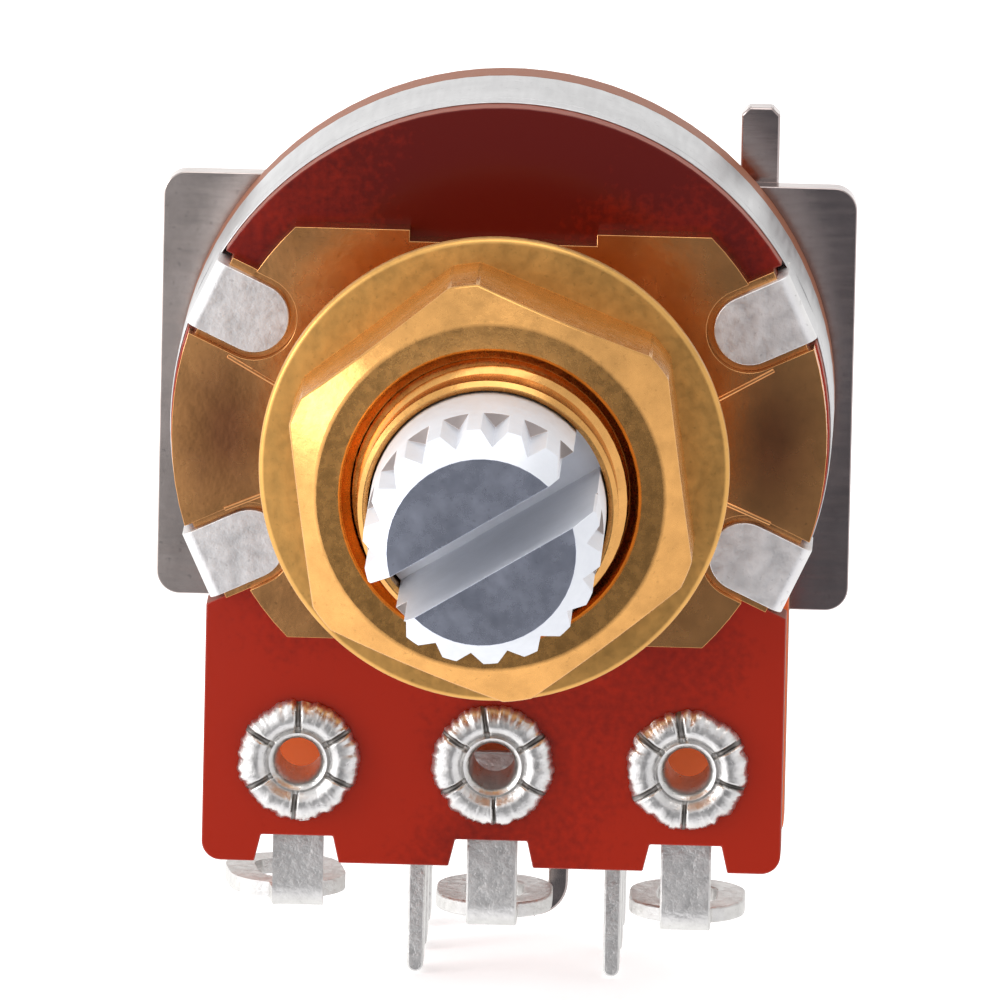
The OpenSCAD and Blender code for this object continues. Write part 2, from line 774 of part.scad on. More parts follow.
module rivet_1() rivet(rivets[0], cage_inside);
module rivet_2() rivet(rivets[1], cage_inside);
module rivet_3() rivet(rivets[2], cage_inside);
module rivet_4() rivet(rivets[3], cage_inside - cage_t);

// The outline, seen from the side, of the strip bent over the switch or of the room inside it
module bent_over(len, top, bend_r) {
    translate([(cage_front + cage_rear) / 2, 0]) {
        translate([-len / 2, -cage_top]) square([len, cage_top + top - bend_r]);
        translate([-len / 2 + bend_r, 0]) square([len - 2 * bend_r, top]);
        for (end = [-1, 1]) translate([end * (len / 2 - bend_r), top - bend_r]) circle(bend_r);
    }
}

// A wide front wall, open at the top in the middle, and a strip bent back there and down behind the switch
module cage() color("slategray") facing() {
    difference() {
        union() {
            layer(cage_inside, cage_front) difference() {
                round_rect(cage_w, cage_h, cage_corner);
                // Open above the strip, with a relief cut beside each bend
                open_w = strip_w + 2 * relief_w;
                translate([-open_w / 2, strip_top - cage_bend]) square([open_w, cage_top]);
            }
            side_profile(strip_w) difference() {
                bent_over(cage_front - cage_rear, strip_top, cage_bend);
                bent_over(cage_len, cage_ceiling, cage_bend - cage_t);
            }
            // Guide lips folded down beside the slider
            for (side = [-1, 1]) layer(cage_back + cage_bend, cage_inside - lip_start) {
                translate([side * (strip_w - cage_t) / 2, strip_top - lip_h / 2 - join]) {
                    square([cage_t, lip_h], center = true);
                }
            }
            // Feet folded under the switch base
            for (x = [-foot_x, foot_x]) translate([x - foot_w / 2, -cage_top, 0]) {
                for (back = [cage_front - foot_len, cage_rear]) {
                    translate([0, -cage_t, back]) cube([foot_w, cage_t, foot_len]);
                }
                for (wall = [cage_inside, cage_rear]) {
                    translate([0, -join, wall]) cube([foot_w, 2 * join, cage_t]);
                }
            }
        }
        translate([0, 0, cage_inside - clear]) cylinder(d = shaft_hole_d, h = cage_t + 2 * clear);
        translate([0, 0, cage_rear - clear]) cylinder(d = sight_d, h = cage_t + 2 * clear);
        rivet_holes(cage_inside, cage_front);
        // Detent holes above the ball, pushed in and pulled out
        for (shift = [0, travel]) {
            translate([ball_x, cage_ceiling - clear, ball_z + shift]) rotate([-90, 0, 0]) {
                cylinder(d = ball_d * 0.8, h = cage_t + 2 * clear);
            }
        }
    }
}

// A tab under the upper right rivet, standing up beside the can
module ground_tab() color("slategray") facing() layer(cage_inside - cage_t, cage_inside) difference() {
    chamfer = ground_w * 0.2;
    half = ground_w / 2;
    translate([rivet_x, 0]) {
        translate([0, rivet_y]) circle(d = ground_eye_d);
        polygon([
            [-half, rivet_y],
            [half, rivet_y],
            [half, ground_top - chamfer],
            [half - chamfer, ground_top],
            [-half + chamfer, ground_top],
            [-half, ground_top - chamfer]
        ]);
    }
    translate(rivets[3]) circle(d = rivet_d);
}

module switch_base() color("saddlebrown") facing() difference() {
    translate([-strip_w / 2, -cage_top, cage_back]) cube([strip_w, base_t, cage_len]);
    for (x = columns, z = rows) {
        translate([x - pin_w / 2, -cage_top - clear, z - pin_len / 2]) {
            cube([pin_w, base_t + 2 * clear, pin_len]);
        }
    }
}

// A fixed contact on the base, with its pin through the base
module switch_pin(x, z) color("silver") facing() translate([x, 0, 0]) {
    translate([-pad_w / 2, base_top, z - pad_len / 2]) cube([pad_w, pad_t, pad_len]);
    layer(z - pin_len / 2, z + pin_len / 2) {
        tip_r = pin_tip_w / 2;
        polygon([
            [-pin_w / 2, base_top + join],
            [pin_w / 2, base_top + join],
            [pin_w / 2, -cage_top],
            [tip_r, -pin_drop + tip_r],
            [-tip_r, -pin_drop + tip_r],
            [-pin_w / 2, -cage_top]
        ]);
        translate([0, -pin_drop + tip_r]) circle(tip_r);
    }
}

module pin_1() switch_pin(columns[0], rows[0]);
module pin_2() switch_pin(columns[1], rows[0]);
module pin_3() switch_pin(columns[0], rows[1]);
module pin_4() switch_pin(columns[1], rows[1]);
module pin_5() switch_pin(columns[0], rows[2]);
module pin_6() switch_pin(columns[1], rows[2]);

// A strip that hangs from the switch base and curls to the left at its end
module hooked_strip() color("dimgray") facing() translate([hook_x, 0, 0]) {
    front = cage_inside - hook_gap;
    bend_x = hook_t / 2 - hook_bend;
    layer(front - hook_w, front) {
        translate([-hook_t / 2, -hook_drop + hook_bend]) square([hook_t, hook_drop - hook_bend - cage_top]);
        translate([bend_x, -hook_drop + hook_bend]) mirror([0, 1]) {
            bend_quarter(hook_bend - hook_t, hook_bend);
        }
        translate([bend_x - hook_tail, -hook_drop]) square([hook_tail + join, hook_t]);
        translate([bend_x - hook_tail, -hook_drop + hook_t / 2]) circle(d = hook_t);
    }
}

// A round bar with two flats
module double_d(d, flats) {
    intersection() {
        circle(d = d);
        square([2 * d, flats], center = true);
    }
}

module rotor() color("ivory") facing() difference() {
    union() {
        layer(disc_rear, disc_front) {
            circle(d = rotor_d);
            translate([-stop_lug_w / 2, 0]) square([stop_lug_w, stop_reach]);
        }
        layer(hub_rear, hub_front) circle(d = hub_d);
    }
    layer(hub_rear - clear, hub_front + clear) {
        double_d(drive_d + 2 * shaft_fit, drive_flats + 2 * shaft_fit);
    }
}

// A spring plate on the disc, with one finger on the track and one on the ring
module wiper() color("gold") facing() {
    plate_front = disc_front + wiper_t;
    film_face = wafer_rear - film_t - touch_gap;
    tip_r = finger_w / 2;
    layer(disc_front, plate_front) {
        difference() {
            circle(d = collector_d + 2 * collector_w);
            circle(d = hub_d + 2 * run_gap);
        }
        arm_len = (track_d - collector_d) / 2 + 2 * tip_r;
        translate([-wiper_arm_w / 2, collector_d / 2]) square([wiper_arm_w, arm_len]);
    }
    for (r = [track_d / 2, collector_d / 2], side = [-1, 1]) {
        translate([side * (wiper_arm_w / 2 - finger_w), r, 0]) {
            layer(plate_front - join, film_face - tip_r) square([finger_w, 2 * tip_r], center = true);
            translate([-finger_w / 2, 0, film_face - tip_r]) rotate([0, 90, 0]) {
                cylinder(r = tip_r, h = finger_w);
            }
        }
    }
}

// A bar turned down in steps behind, with a chamfered end that has grooves and a slot
module shaft() color("whitesmoke") facing() difference() {
    union() {
        rotate_extrude() polygon([
            [0, drive_front],
            [shaft_r, drive_front],
            [shaft_r, shaft_tip - tip_chamfer],
            [tip_face_d / 2, shaft_tip],
            [0, shaft_tip]
        ]);
        layer(neck_front, drive_front + join) double_d(drive_d, drive_flats);
        layer(neck_back - join, neck_front + join) circle(d = neck_d);
        layer(head_back, neck_back) circle(d = head_d);
    }
    layer(knurl_start, shaft_tip + clear) for (i = [0:spline_n - 1]) rotate(spline_phase + i * 360 / spline_n) {
        polygon([
            [shaft_r - spline_depth, 0],
            [shaft_r + spline_depth / 3, -spline_depth * 4 / 3],
            [shaft_r + spline_depth / 3, spline_depth * 4 / 3]
        ]);
    }
    rotate(slot_angle) translate([-shaft_d, -slot_w / 2, shaft_tip - slot_depth]) {
        cube([2 * shaft_d, slot_w, slot_depth + clear]);
    }
}

// A moulded block that drops over the neck of the shaft from below its open top
module slider() color("dimgray") facing() difference() {
    neck_r = neck_d / 2 + neck_fit;
    head_r = head_d / 2 + run_gap;
    pocket_back = head_back - run_gap;
    translate([-slider_w / 2, -slider_drop, slider_rear]) {
        cube([slider_w, slider_drop + slider_top, slider_front - slider_rear]);
    }
    layer(neck_back - join, slider_front + clear) {
        circle(neck_r);
        translate([-neck_r, 0]) square([2 * neck_r, cage_h]);
    }
    layer(pocket_back, slider_front - fork_t) {
        circle(head_r);
        translate([-head_r, 0]) square([2 * head_r, cage_h]);
    }
    for (x = columns) translate([x, 0, 0]) side_profile(bridge_w + 2 * run_gap) {
        translate([bridge_z, bridge_y]) circle(bridge_r + bridge_t / 2);
        translate([bridge_z - bridge_r - bridge_t, bridge_y - cage_h]) {
            square([2 * (bridge_r + bridge_t), cage_h]);
        }
    }
    translate([ball_x, slider_top - ball_d, ball_z]) rotate([-90, 0, 0]) {
        cylinder(d = ball_d + run_gap, h = ball_d + clear);
    }
}

// A sprung arch that joins two neighbouring fixed contacts
module bridge(x) color("gold") facing() {
    translate([x, 0, 0]) side_profile(bridge_w) translate([bridge_z, bridge_y]) bridge_arch();
}

module bridge_arch() {
    difference() {
        circle(bridge_r + bridge_t / 2);
        circle(bridge_r - bridge_t / 2);
        translate([-2 * bridge_r, -2 * bridge_r]) square([4 * bridge_r, 2 * bridge_r]);
    }
    for (end = [-1, 1]) translate([end * bridge_r, 0]) circle(foot_r);
}

module bridge_left() bridge(columns[0]);
module bridge_right() bridge(columns[1]);

module detent_ball() color("silver") facing() {
    translate([ball_x, slider_top - ball_d / 2, ball_z]) sphere(d = ball_d);
}

front_plate();
bushing();
washer();
hex_nut();
element_wafer();
resistive_track();
collector_ring();
terminal_left();
terminal_middle();
terminal_right();
eyelet_left();
eyelet_middle();
eyelet_right();
can();
rear_board();
link_strip();
rivet_1();
rivet_2();
rivet_3();
rivet_4();
cage();
ground_tab();
switch_base();
pin_1();
pin_2();
pin_3();
pin_4();
pin_5();
pin_6();
hooked_strip();
rotor();
wiper();
shaft();
slider();
bridge_left();
bridge_right();
detent_ball();
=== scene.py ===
"""Looks of a push-pull potentiometer: splined shaft, threaded bushing, nut, boards, can and switch cage.

The CAD frame gives every size and place. A new shape is drawn facing the viewer, in millimetres, with x to
the right, y up and z forward along the shaft, and one transform turns it into the frame's metres. A copy of a
solid is in the frame already.
"""

import json
import math

import bmesh
import bpy
from mathutils import Matrix, Vector, noise


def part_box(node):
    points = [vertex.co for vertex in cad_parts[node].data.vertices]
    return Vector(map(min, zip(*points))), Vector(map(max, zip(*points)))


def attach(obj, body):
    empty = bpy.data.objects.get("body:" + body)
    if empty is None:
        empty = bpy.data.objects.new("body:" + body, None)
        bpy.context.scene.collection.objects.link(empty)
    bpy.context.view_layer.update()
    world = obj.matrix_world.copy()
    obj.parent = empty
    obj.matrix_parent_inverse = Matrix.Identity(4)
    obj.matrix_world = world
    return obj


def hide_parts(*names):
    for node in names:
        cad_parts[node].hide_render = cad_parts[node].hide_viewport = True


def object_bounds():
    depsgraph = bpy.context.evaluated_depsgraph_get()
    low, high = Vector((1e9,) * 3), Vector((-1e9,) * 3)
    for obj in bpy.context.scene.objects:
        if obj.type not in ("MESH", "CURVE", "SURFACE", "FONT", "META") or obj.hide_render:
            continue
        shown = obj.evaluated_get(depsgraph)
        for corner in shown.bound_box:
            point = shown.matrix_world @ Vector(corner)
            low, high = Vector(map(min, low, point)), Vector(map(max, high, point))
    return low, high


bl_info = {
    "name": "Push-pull potentiometer",
    "version": (1, 0, 0),
    "blender": (4, 5, 0),
    "location": "View3D > Sidebar > Potentiometer",
    "description": "Dresses the potentiometer's frame with finished pieces and materials",
    "category": "Object",
}

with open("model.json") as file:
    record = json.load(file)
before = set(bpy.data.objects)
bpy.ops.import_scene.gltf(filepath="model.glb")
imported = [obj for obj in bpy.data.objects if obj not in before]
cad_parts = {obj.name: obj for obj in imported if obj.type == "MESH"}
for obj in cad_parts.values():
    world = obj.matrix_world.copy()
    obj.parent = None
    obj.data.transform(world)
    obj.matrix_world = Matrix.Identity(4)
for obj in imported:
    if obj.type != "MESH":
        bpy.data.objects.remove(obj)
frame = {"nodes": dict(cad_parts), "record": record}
CAD_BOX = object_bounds()

MM = 0.001
# From a drawing that faces the viewer to the frame, where the shaft points to -Y
FACING = Matrix.Rotation(math.radians(90), 4, "X") @ Matrix.Scale(MM, 4)
# The photograph is a square of this many pixels
PHOTO_PX = 1000


def hex_to_linear(code):
    """Turns an sRGB hex colour into linear red, green, blue and alpha."""
    channels = [int(code[i:i + 2], 16) / 255 for i in (1, 3, 5)]
    linear = [c / 12.92 if c <= 0.04045 else ((c + 0.055) / 1.055) ** 2.4 for c in channels]
    return (*linear, 1.0)


def colour(name, code, description):
    """A colour of the panel, given as an sRGB hex code."""
    return bpy.props.FloatVectorProperty(
        name=name, description=description, subtype="COLOR", size=4, min=0, max=1, default=hex_to_linear(code)
    )


def length(name, mm, description):
    """A length of the panel, given in millimetres."""
    return bpy.props.FloatProperty(
        name=name, description=description, unit="LENGTH", precision=5, min=0, default=mm * MM
    )


class PotSizes(bpy.types.PropertyGroup):
    """Sizes of the details that the frame leaves out."""

    thread_pitch: length("Thread pitch", 0.75, "Distance between neighbouring turns of the bushing thread")
    thread_depth: length("Thread depth", 0.24, "Height of the thread over its root")
    thread_runout: length("Thread run-out", 0.7, "Distance over which the thread fades at both ends")
    bushing_rim: length("Bushing rim", 0.2, "Chamfer at the bushing's free end")
    turned_edge: length("Turned edge", 0.05, "Rounding on the edges of turned parts")
    sheet_edge: length("Sheet edge", 0.05, "Rounding on the edges of punched sheet")
    cage_edge: length("Cage edge", 0.1, "Rounding on the edges of the cage")
    crease: length("Plate crease", 0.12, "Width of the creases beside the plate's ears")
    board_edge: length("Board edge", 0.035, "Rounding on the edges of the boards")
    shaft_edge: length("Shaft edge", 0.03, "Rounding on the splines and the slot")
    eyelet_rough: length("Eyelet raggedness", 0.13, "How far the torn rim of a rolled eyelet wanders")


class PotColours(bpy.types.PropertyGroup):
    """Colours of the finishes."""

    brass: colour("Brass", "#E8AC64", "Turned brass of the bushing and nut")
    brass_sheet: colour("Brass sheet", "#E6B064", "Stamped brass of the washer")
    gilt: colour("Yellow plating", "#F2B070", "Yellow-passivated front plate")
    laminate: colour("Laminate", "#931E08", "Face of the red-brown laminate")
    laminate_dark: colour("Laminate, dark", "#56100A", "Darker clouds in the laminate")
    laminate_edge: colour("Laminate edge", "#9A4A32", "Cut edge of the laminate")
    board: colour("Rear board", "#E06A3A", "Orange-tan laminate of the rear board")
    board_edge: colour("Rear board edge", "#9C5C3C", "Cut edge of the rear board")
    tin: colour("Tin", "#E4E2DF", "Tin plating on terminals, pins and eyelets")
    tinplate: colour("Tinplate", "#D0CFCF", "Tinned sheet of the can")
    # Painted shade in the stake marks, where little light gets in
    tin_dark: colour("Tin, dark", "#8C8884", "Stake marks in the eyelets")
    # Paler than the can's tinplate: painted light on the same sheet
    tinplate_tab_lit: colour("Tinplate, tabs", "#F2F0EF", "Folded tabs of the can")
    steel: colour("Steel", "#CABEB8", "Sheet steel of the cage, the ground tab and the hooked strip")
    aluminium: colour("Aluminium", "#EAECF1", "Turned aluminium shaft")
    # Painted shade: the recessed ends of the knurl grooves are drawn grey-brown
    aluminium_groove_shade: colour("Aluminium, groove", "#C2B4AC", "Ends of the knurl grooves")
    # The end's bluish tint is a painted reflection of the grey room
    aluminium_face_painted_reflection: colour("Aluminium, end", "#CDD2E2", "Smooth end of the shaft, bluish in the photograph")
    nylon: colour("White nylon", "#E6E3DA", "Moulded rotor")
    nylon_dark: colour("Black nylon", "#1E1E20", "Moulded slider")
    carbon: colour("Carbon film", "#161616", "Printed resistive track")
    silver_print: colour("Silver print", "#A9A9A6", "Printed collector ring")
    floor: colour("Floor", "#F7F7F7", "Pale studio floor")


def sizes():
    return bpy.context.scene.pot_sizes


def colours():
    return bpy.context.scene.pot_colours


# Nodes and materials

def add_node(tree, kind, settings=None, links=None):
    """Adds one shader node, sets its properties and sockets, and links its inputs."""
    node = tree.nodes.new(kind)
    for key, value in (settings or {}).items():
        if isinstance(key, str) and hasattr(node, key):
            setattr(node, key, value)
        else:
            node.inputs[key].default_value = value
    for key, socket in (links or {}).items():
        tree.links.new(socket, node.inputs[key])
    return node


def new_material(name):
    """Starts a material: itself, its node tree, its shader and object coordinates in millimetres."""
    made = bpy.data.materials.new(name)
    made.use_nodes = True
    tree = made.node_tree
    tree.nodes.clear()
    shader = add_node(tree, "ShaderNodeBsdfPrincipled")
    add_node(tree, "ShaderNodeOutputMaterial", links={"Surface": shader.outputs["BSDF"]})
    spot = add_node(tree, "ShaderNodeTexCoord")
    in_mm = add_node(
        tree, "ShaderNodeMapping", {"Scale": (1 / MM, 1 / MM, 1 / MM)}, {"Vector": spot.outputs["Object"]}
    )
    return made, tree, shader, in_mm.outputs["Vector"]


def dim(rgba, red, green=None, blue=None):
    """A colour cut to a share of itself, or each channel to a share of its own."""
    green = red if green is None else green
    blue = red if blue is None else blue
    return (rgba[0] * red, rgba[1] * green, rgba[2] * blue, 1.0)


def rolling_lines(tree, where, direction):
    """Streaks along one direction, as rolled sheet has, drawn coarser than real ones so that they show."""
    wide_mm = 0.2
    long_mm = 2.0
    stretch = [1 / wide_mm] * 3
    stretch["XYZ".index(direction)] = 1 / long_mm
    along = add_node(tree, "ShaderNodeMapping", {"Scale": stretch}, {"Vector": where})
    return add_node(
        tree, "ShaderNodeTexNoise", {"Scale": 1.0, "Detail": 3.0}, {"Vector": along.outputs["Vector"]}
    )


def tumbled_grain(tree, where, grain_mm):
    """Even small dents, as barrel plating leaves them."""
    return add_node(
        tree, "ShaderNodeTexNoise", {"Scale": 1 / grain_mm, "Detail": 4.0, "Roughness": 0.6},
        {"Vector": where},
    )


def metal(
    name, tone, rough, depth_mm, grain_mm=None, streaks=None, cloud_mm=2.5, cloud_tone=0.8, pits=0.0,
    shade=None,
):
    """A bare or plated metal with dull clouds, dark pits, a shallow relief of dents or streaks, and painted
    shade where a mask is given.

    rough: roughness at the low and at the high spots of the relief
    depth_mm: depth of the relief
    grain_mm or streaks: size of its dents, or the direction of its streaks
    cloud_mm, cloud_tone: size of the clouds, and the share of the tone that is left in them
    pits: how dark the pits are, from 0 to 1
    shade: adds the mask of the painted shade, which is darker still
    """
    pit_mm = 1 / 7
    # Shares of the tone that are left in a pit and in the painted shade
    pit_tone = 0.3
    shade_tone = (0.4, 0.33, 0.4)
    made, tree, shader, where = new_material(name)
    marks = rolling_lines(tree, where, streaks) if streaks else tumbled_grain(tree, where, grain_mm)
    clouds = add_node(
        tree, "ShaderNodeTexNoise", {"Scale": 1 / cloud_mm, "Detail": 5.0, "Roughness": 0.65},
        {"Vector": where},
    )
    spread = add_node(
        tree, "ShaderNodeMapRange", {"From Min": 0.33, "From Max": 0.67}, {"Value": clouds.outputs["Fac"]}
    )
    tint = add_node(
        tree, "ShaderNodeMix", {"data_type": "RGBA", 6: dim(tone, cloud_tone), 7: tuple(tone)},
        {0: spread.outputs["Result"]},
    )
    specks = add_node(tree, "ShaderNodeTexNoise", {"Scale": 1 / pit_mm, "Detail": 2.0}, {"Vector": where})
    # Only the peaks of the noise pass, so the pits stay few
    sparse = add_node(
        tree, "ShaderNodeMapRange", {"From Min": 0.64, "From Max": 0.74, "To Max": pits},
        {"Value": specks.outputs["Fac"]},
    )
    tint = add_node(
        tree, "ShaderNodeMix", {"data_type": "RGBA", 7: dim(tone, pit_tone)},
        {0: sparse.outputs["Result"], 6: tint.outputs[2]},
    )
    if shade:
        tint = add_node(
            tree, "ShaderNodeMix", {"data_type": "RGBA", 7: dim(tone, *shade_tone)},
            {0: shade(tree, where), 6: tint.outputs[2]},
        )
    gloss = add_node(
        tree, "ShaderNodeMapRange",
        {"From Min": 0.3, "From Max": 0.7, "To Min": rough[0], "To Max": rough[1]},
        {"Value": marks.outputs["Fac"]},
    )
    relief = add_node(
        tree, "ShaderNodeBump", {"Strength": 0.6, "Distance": depth_mm * MM}, {"Height": marks.outputs["Fac"]}
    )
    shader.inputs["Metallic"].default_value = 1.0
    tree.links.new(tint.outputs[2], shader.inputs["Base Color"])
    tree.links.new(gloss.outputs["Result"], shader.inputs["Roughness"])
    tree.links.new(relief.outputs["Normal"], shader.inputs["Normal"])
    return made


def turned_brass():
    """Turned brass after barrel polishing: satin gold, with small dents, dull clouds and specks."""
    return metal(
        "turned_brass", colours().brass, rough=(0.2, 0.33), depth_mm=0.011, grain_mm=0.3, cloud_mm=0.8,
        cloud_tone=0.78, pits=0.25,
    )


def stamped_brass():
    """Washer sheet: duller than the nut, so it takes light from further round."""
    return metal(
        "stamped_brass", colours().brass_sheet, rough=(0.34, 0.46), depth_mm=0.011, grain_mm=0.3,
        cloud_mm=1.2, cloud_tone=0.78, pits=0.25,
    )


def painted_ear_shade(tree, where):
    """Painted shade: a soft dark oval in the middle of each ear of the plate, where it mirrors the dark of
    the room.
    """
    spot_x = 7.0
    squeeze = (0.75, 0, 0.42)
    outer, inner = 1.1, 0.2
    folded = add_node(tree, "ShaderNodeVectorMath", {"operation": "ABSOLUTE"}, {0: where})
    middle = add_node(
        tree, "ShaderNodeVectorMath", {"operation": "SUBTRACT", 1: (spot_x, 0, 0)}, {0: folded.outputs[0]}
    )
    oval = add_node(
        tree, "ShaderNodeVectorMath", {"operation": "MULTIPLY", 1: squeeze}, {0: middle.outputs[0]}
    )
    far = add_node(tree, "ShaderNodeVectorMath", {"operation": "LENGTH"}, {0: oval.outputs[0]})
    near = add_node(
        tree, "ShaderNodeMapRange", {"From Min": outer, "From Max": inner, "To Max": 0.95},
        {"Value": far.outputs["Value"]},
    )
    return near.outputs["Result"]


def yellow_plating():
    """Bright zinc with yellow passivation: a soft mirror, with brown painted shade on the ears where they
    face the dark of the room.
    """
    return metal(
        "yellow_plating", colours().gilt, rough=(0.2, 0.3), depth_mm=0.03, grain_mm=1.4, cloud_mm=1.8,
        cloud_tone=0.72, pits=0.4, shade=painted_ear_shade,
    )


def tin_plating():
    """Dull tin over stamped brass, hammered by the tumbler: bright, broken highlights."""
    return metal(
        "tin_plating", colours().tin, rough=(0.26, 0.42), depth_mm=0.035, grain_mm=0.18, cloud_mm=0.8,
        cloud_tone=0.82, pits=0.3,
    )


def stamped_tin():
    """Dull tin on the flat strips, peened by the tumbler, so it gathers light from all round, drawn a little
    darker than the eyelets' tin as painted shade.
    """
    return metal(
        "stamped_tin", dim(colours().tin, 0.92), rough=(0.34, 0.54), depth_mm=0.08, grain_mm=0.24,
        cloud_mm=0.8, cloud_tone=0.85, pits=0.25,
    )


def staked_tin():
    """Bottom of the stake marks: the same tin, drawn dark because little light gets in."""
    return metal("staked_tin", colours().tin_dark, rough=(0.4, 0.55), depth_mm=0.01, grain_mm=0.18)


def tinplate_sheet():
    """Drawn tinplate: bright, with soft streaks along the way it was drawn."""
    return metal(
        "tinplate_sheet", colours().tinplate, rough=(0.4, 0.54), depth_mm=0.012, streaks="Y", cloud_mm=1.6,
        cloud_tone=0.88, pits=0.25,
    )


def folded_tinplate():
    """The can's tabs: the same sheet, duller than the wall, and paler as painted light, as in the photograph.
    """
    return metal(
        "folded_tinplate", colours().tinplate_tab_lit, rough=(0.4, 0.6), depth_mm=0.05, grain_mm=0.5,
        cloud_mm=1.0, cloud_tone=0.86, pits=0.3,
    )


def painted_shade_right(tree, where):
    """Painted shade: a slow darkening toward the right, where the photograph shows the cage darker."""
    spot = add_node(tree, "ShaderNodeSeparateXYZ", links={"Vector": where})
    share = add_node(
        tree, "ShaderNodeMapRange", {"From Min": -5.0, "From Max": 9.0, "To Max": 0.35},
        {"Value": spot.outputs["X"]},
    )
    return share.outputs["Result"]


def rolled_steel():
    """Cold-rolled steel: grey and glossy, with faint streaks across the sheet, dull clouds and painted shade
    toward the right.
    """
    return metal(
        "rolled_steel", colours().steel, rough=(0.14, 0.24), depth_mm=0.004, streaks="X", cloud_mm=1.5,
        cloud_tone=0.72, pits=0.3, shade=painted_shade_right,
    )


def faced_aluminium():
    """The flat end of the aluminium bar: a smooth cut that mirrors the room, with dull clouds and a bluish
    tint that is a painted reflection.
    """
    return metal(
        "faced_aluminium", colours().aluminium_face_painted_reflection, rough=(0.22, 0.32), depth_mm=0.004, grain_mm=0.6,
        cloud_mm=0.7, cloud_tone=0.82, pits=0.25,
    )


def grooved_aluminium():
    """The ends of the knurl grooves: grey-brown beside the white bar, as in the photograph, drawn as painted
    shade in the recesses.
    """
    return metal(
        "grooved_aluminium", colours().aluminium_groove_shade, rough=(0.3, 0.4), depth_mm=0.004, grain_mm=0.2
    )


def turned_aluminium():
    """Turned and knurled aluminium: satin white, with its fine tool marks drawn as a coarser grain."""
    return metal(
        "turned_aluminium", colours().aluminium, rough=(0.5, 0.64), depth_mm=0.006, grain_mm=0.2,
        cloud_mm=1.5, cloud_tone=0.94,
    )


def laminate_face(name, light, dark):
    """Phenolic paper laminate: resin-rich and glossy, with soft clouds and short fibres, drawn to show, and
    with painted shade along its middle and top.
    """
    cloud_mm = 4.55
    fibre_mm = 0.2
    fibre_share = 0.3
    made, tree, shader, where = new_material(name)
    clouds = add_node(tree, "ShaderNodeTexNoise", {"Scale": 1 / cloud_mm, "Detail": 4.0}, {"Vector": where})
    fibres = add_node(tree, "ShaderNodeTexNoise", {"Scale": 1 / fibre_mm, "Detail": 3.0}, {"Vector": where})
    blend = add_node(
        tree, "ShaderNodeMix", {"data_type": "FLOAT", 0: fibre_share},
        {2: clouds.outputs["Fac"], 3: fibres.outputs["Fac"]},
    )
    # The photograph shows the sheet a little darker along its middle and toward its top; this is painted
    # shade
    middle_weight = 2.0
    spot = add_node(tree, "ShaderNodeSeparateXYZ", links={"Vector": where})
    aside = add_node(tree, "ShaderNodeMath", {"operation": "ABSOLUTE"}, {0: spot.outputs["X"]})
    aside = add_node(
        tree, "ShaderNodeMath", {"operation": "MULTIPLY", 1: middle_weight}, {0: aside.outputs[0]}
    )
    lift = add_node(
        tree, "ShaderNodeMath", {"operation": "SUBTRACT"}, {0: aside.outputs[0], 1: spot.outputs["Z"]}
    )
    paler = add_node(
        tree, "ShaderNodeMapRange", {"From Min": -7.0, "From Max": 22.0, "To Min": -0.26, "To Max": 0.26},
        {"Value": lift.outputs[0]},
    )
    level = add_node(
        tree, "ShaderNodeMath", {"operation": "ADD"}, {0: blend.outputs[0], 1: paler.outputs["Result"]}
    )
    tone = add_node(
        tree, "ShaderNodeMapRange", {"From Min": 0.36, "From Max": 0.66}, {"Value": level.outputs[0]}
    )
    tint = add_node(
        tree, "ShaderNodeMix", {"data_type": "RGBA", 6: tuple(dark), 7: tuple(light)},
        {0: tone.outputs["Result"]},
    )
    relief = add_node(
        tree, "ShaderNodeBump", {"Strength": 0.25, "Distance": 0.01 * MM}, {"Height": fibres.outputs["Fac"]}
    )
    tree.links.new(tint.outputs[2], shader.inputs["Base Color"])
    tree.links.new(relief.outputs["Normal"], shader.inputs["Normal"])
    shader.inputs["Roughness"].default_value = 0.17
    shader.inputs["IOR"].default_value = 1.4
    return made


def laminate_edge(name, tone):
    """The cut edge of the laminate: paler and matt, with its paper plies stacked along the shaft."""
    ply_mm = 0.1234
    # The wave texture repeats each tau / 20 of its coordinate
    scale = math.tau / 20 / ply_mm
    made, tree, shader, where = new_material(name)
    plies = add_node(
        tree, "ShaderNodeTexWave",
        {
            "wave_type": "BANDS", "bands_direction": "Y", "Scale": scale, "Distortion": 1.2, "Detail": 3.0,
            "Detail Scale": 2.0,
        },
        {"Vector": where},
    )
    tint = add_node(
        tree, "ShaderNodeMix", {"data_type": "RGBA", 6: dim(tone, 0.6), 7: tuple(tone)},
        {0: plies.outputs["Fac"]},
    )
    relief = add_node(
        tree, "ShaderNodeBump", {"Strength": 0.4, "Distance": 0.02 * MM}, {"Height": plies.outputs["Fac"]}
    )
    tree.links.new(tint.outputs[2], shader.inputs["Base Color"])
    tree.links.new(relief.outputs["Normal"], shader.inputs["Normal"])
    shader.inputs["Roughness"].default_value = 0.55
    return made


def moulded_nylon(name, tone):
    """Injection-moulded polyamide: smooth satin with a faint mould grain, drawn coarse enough to show."""
    made, tree, shader, where = new_material(name)
    grain = tumbled_grain(tree, where, 0.15)
    tint = add_node(
        tree, "ShaderNodeMix", {"data_type": "RGBA", 6: dim(tone, 0.85), 7: tuple(tone)},
        {0: grain.outputs["Fac"]},
    )
    relief = add_node(
        tree, "ShaderNodeBump", {"Strength": 0.3, "Distance": 0.008 * MM}, {"Height": grain.outputs["Fac"]}
    )
    tree.links.new(tint.outputs[2], shader.inputs["Base Color"])
    tree.links.new(relief.outputs["Normal"], shader.inputs["Normal"])
    shader.inputs["Roughness"].default_value = 0.42
    return made


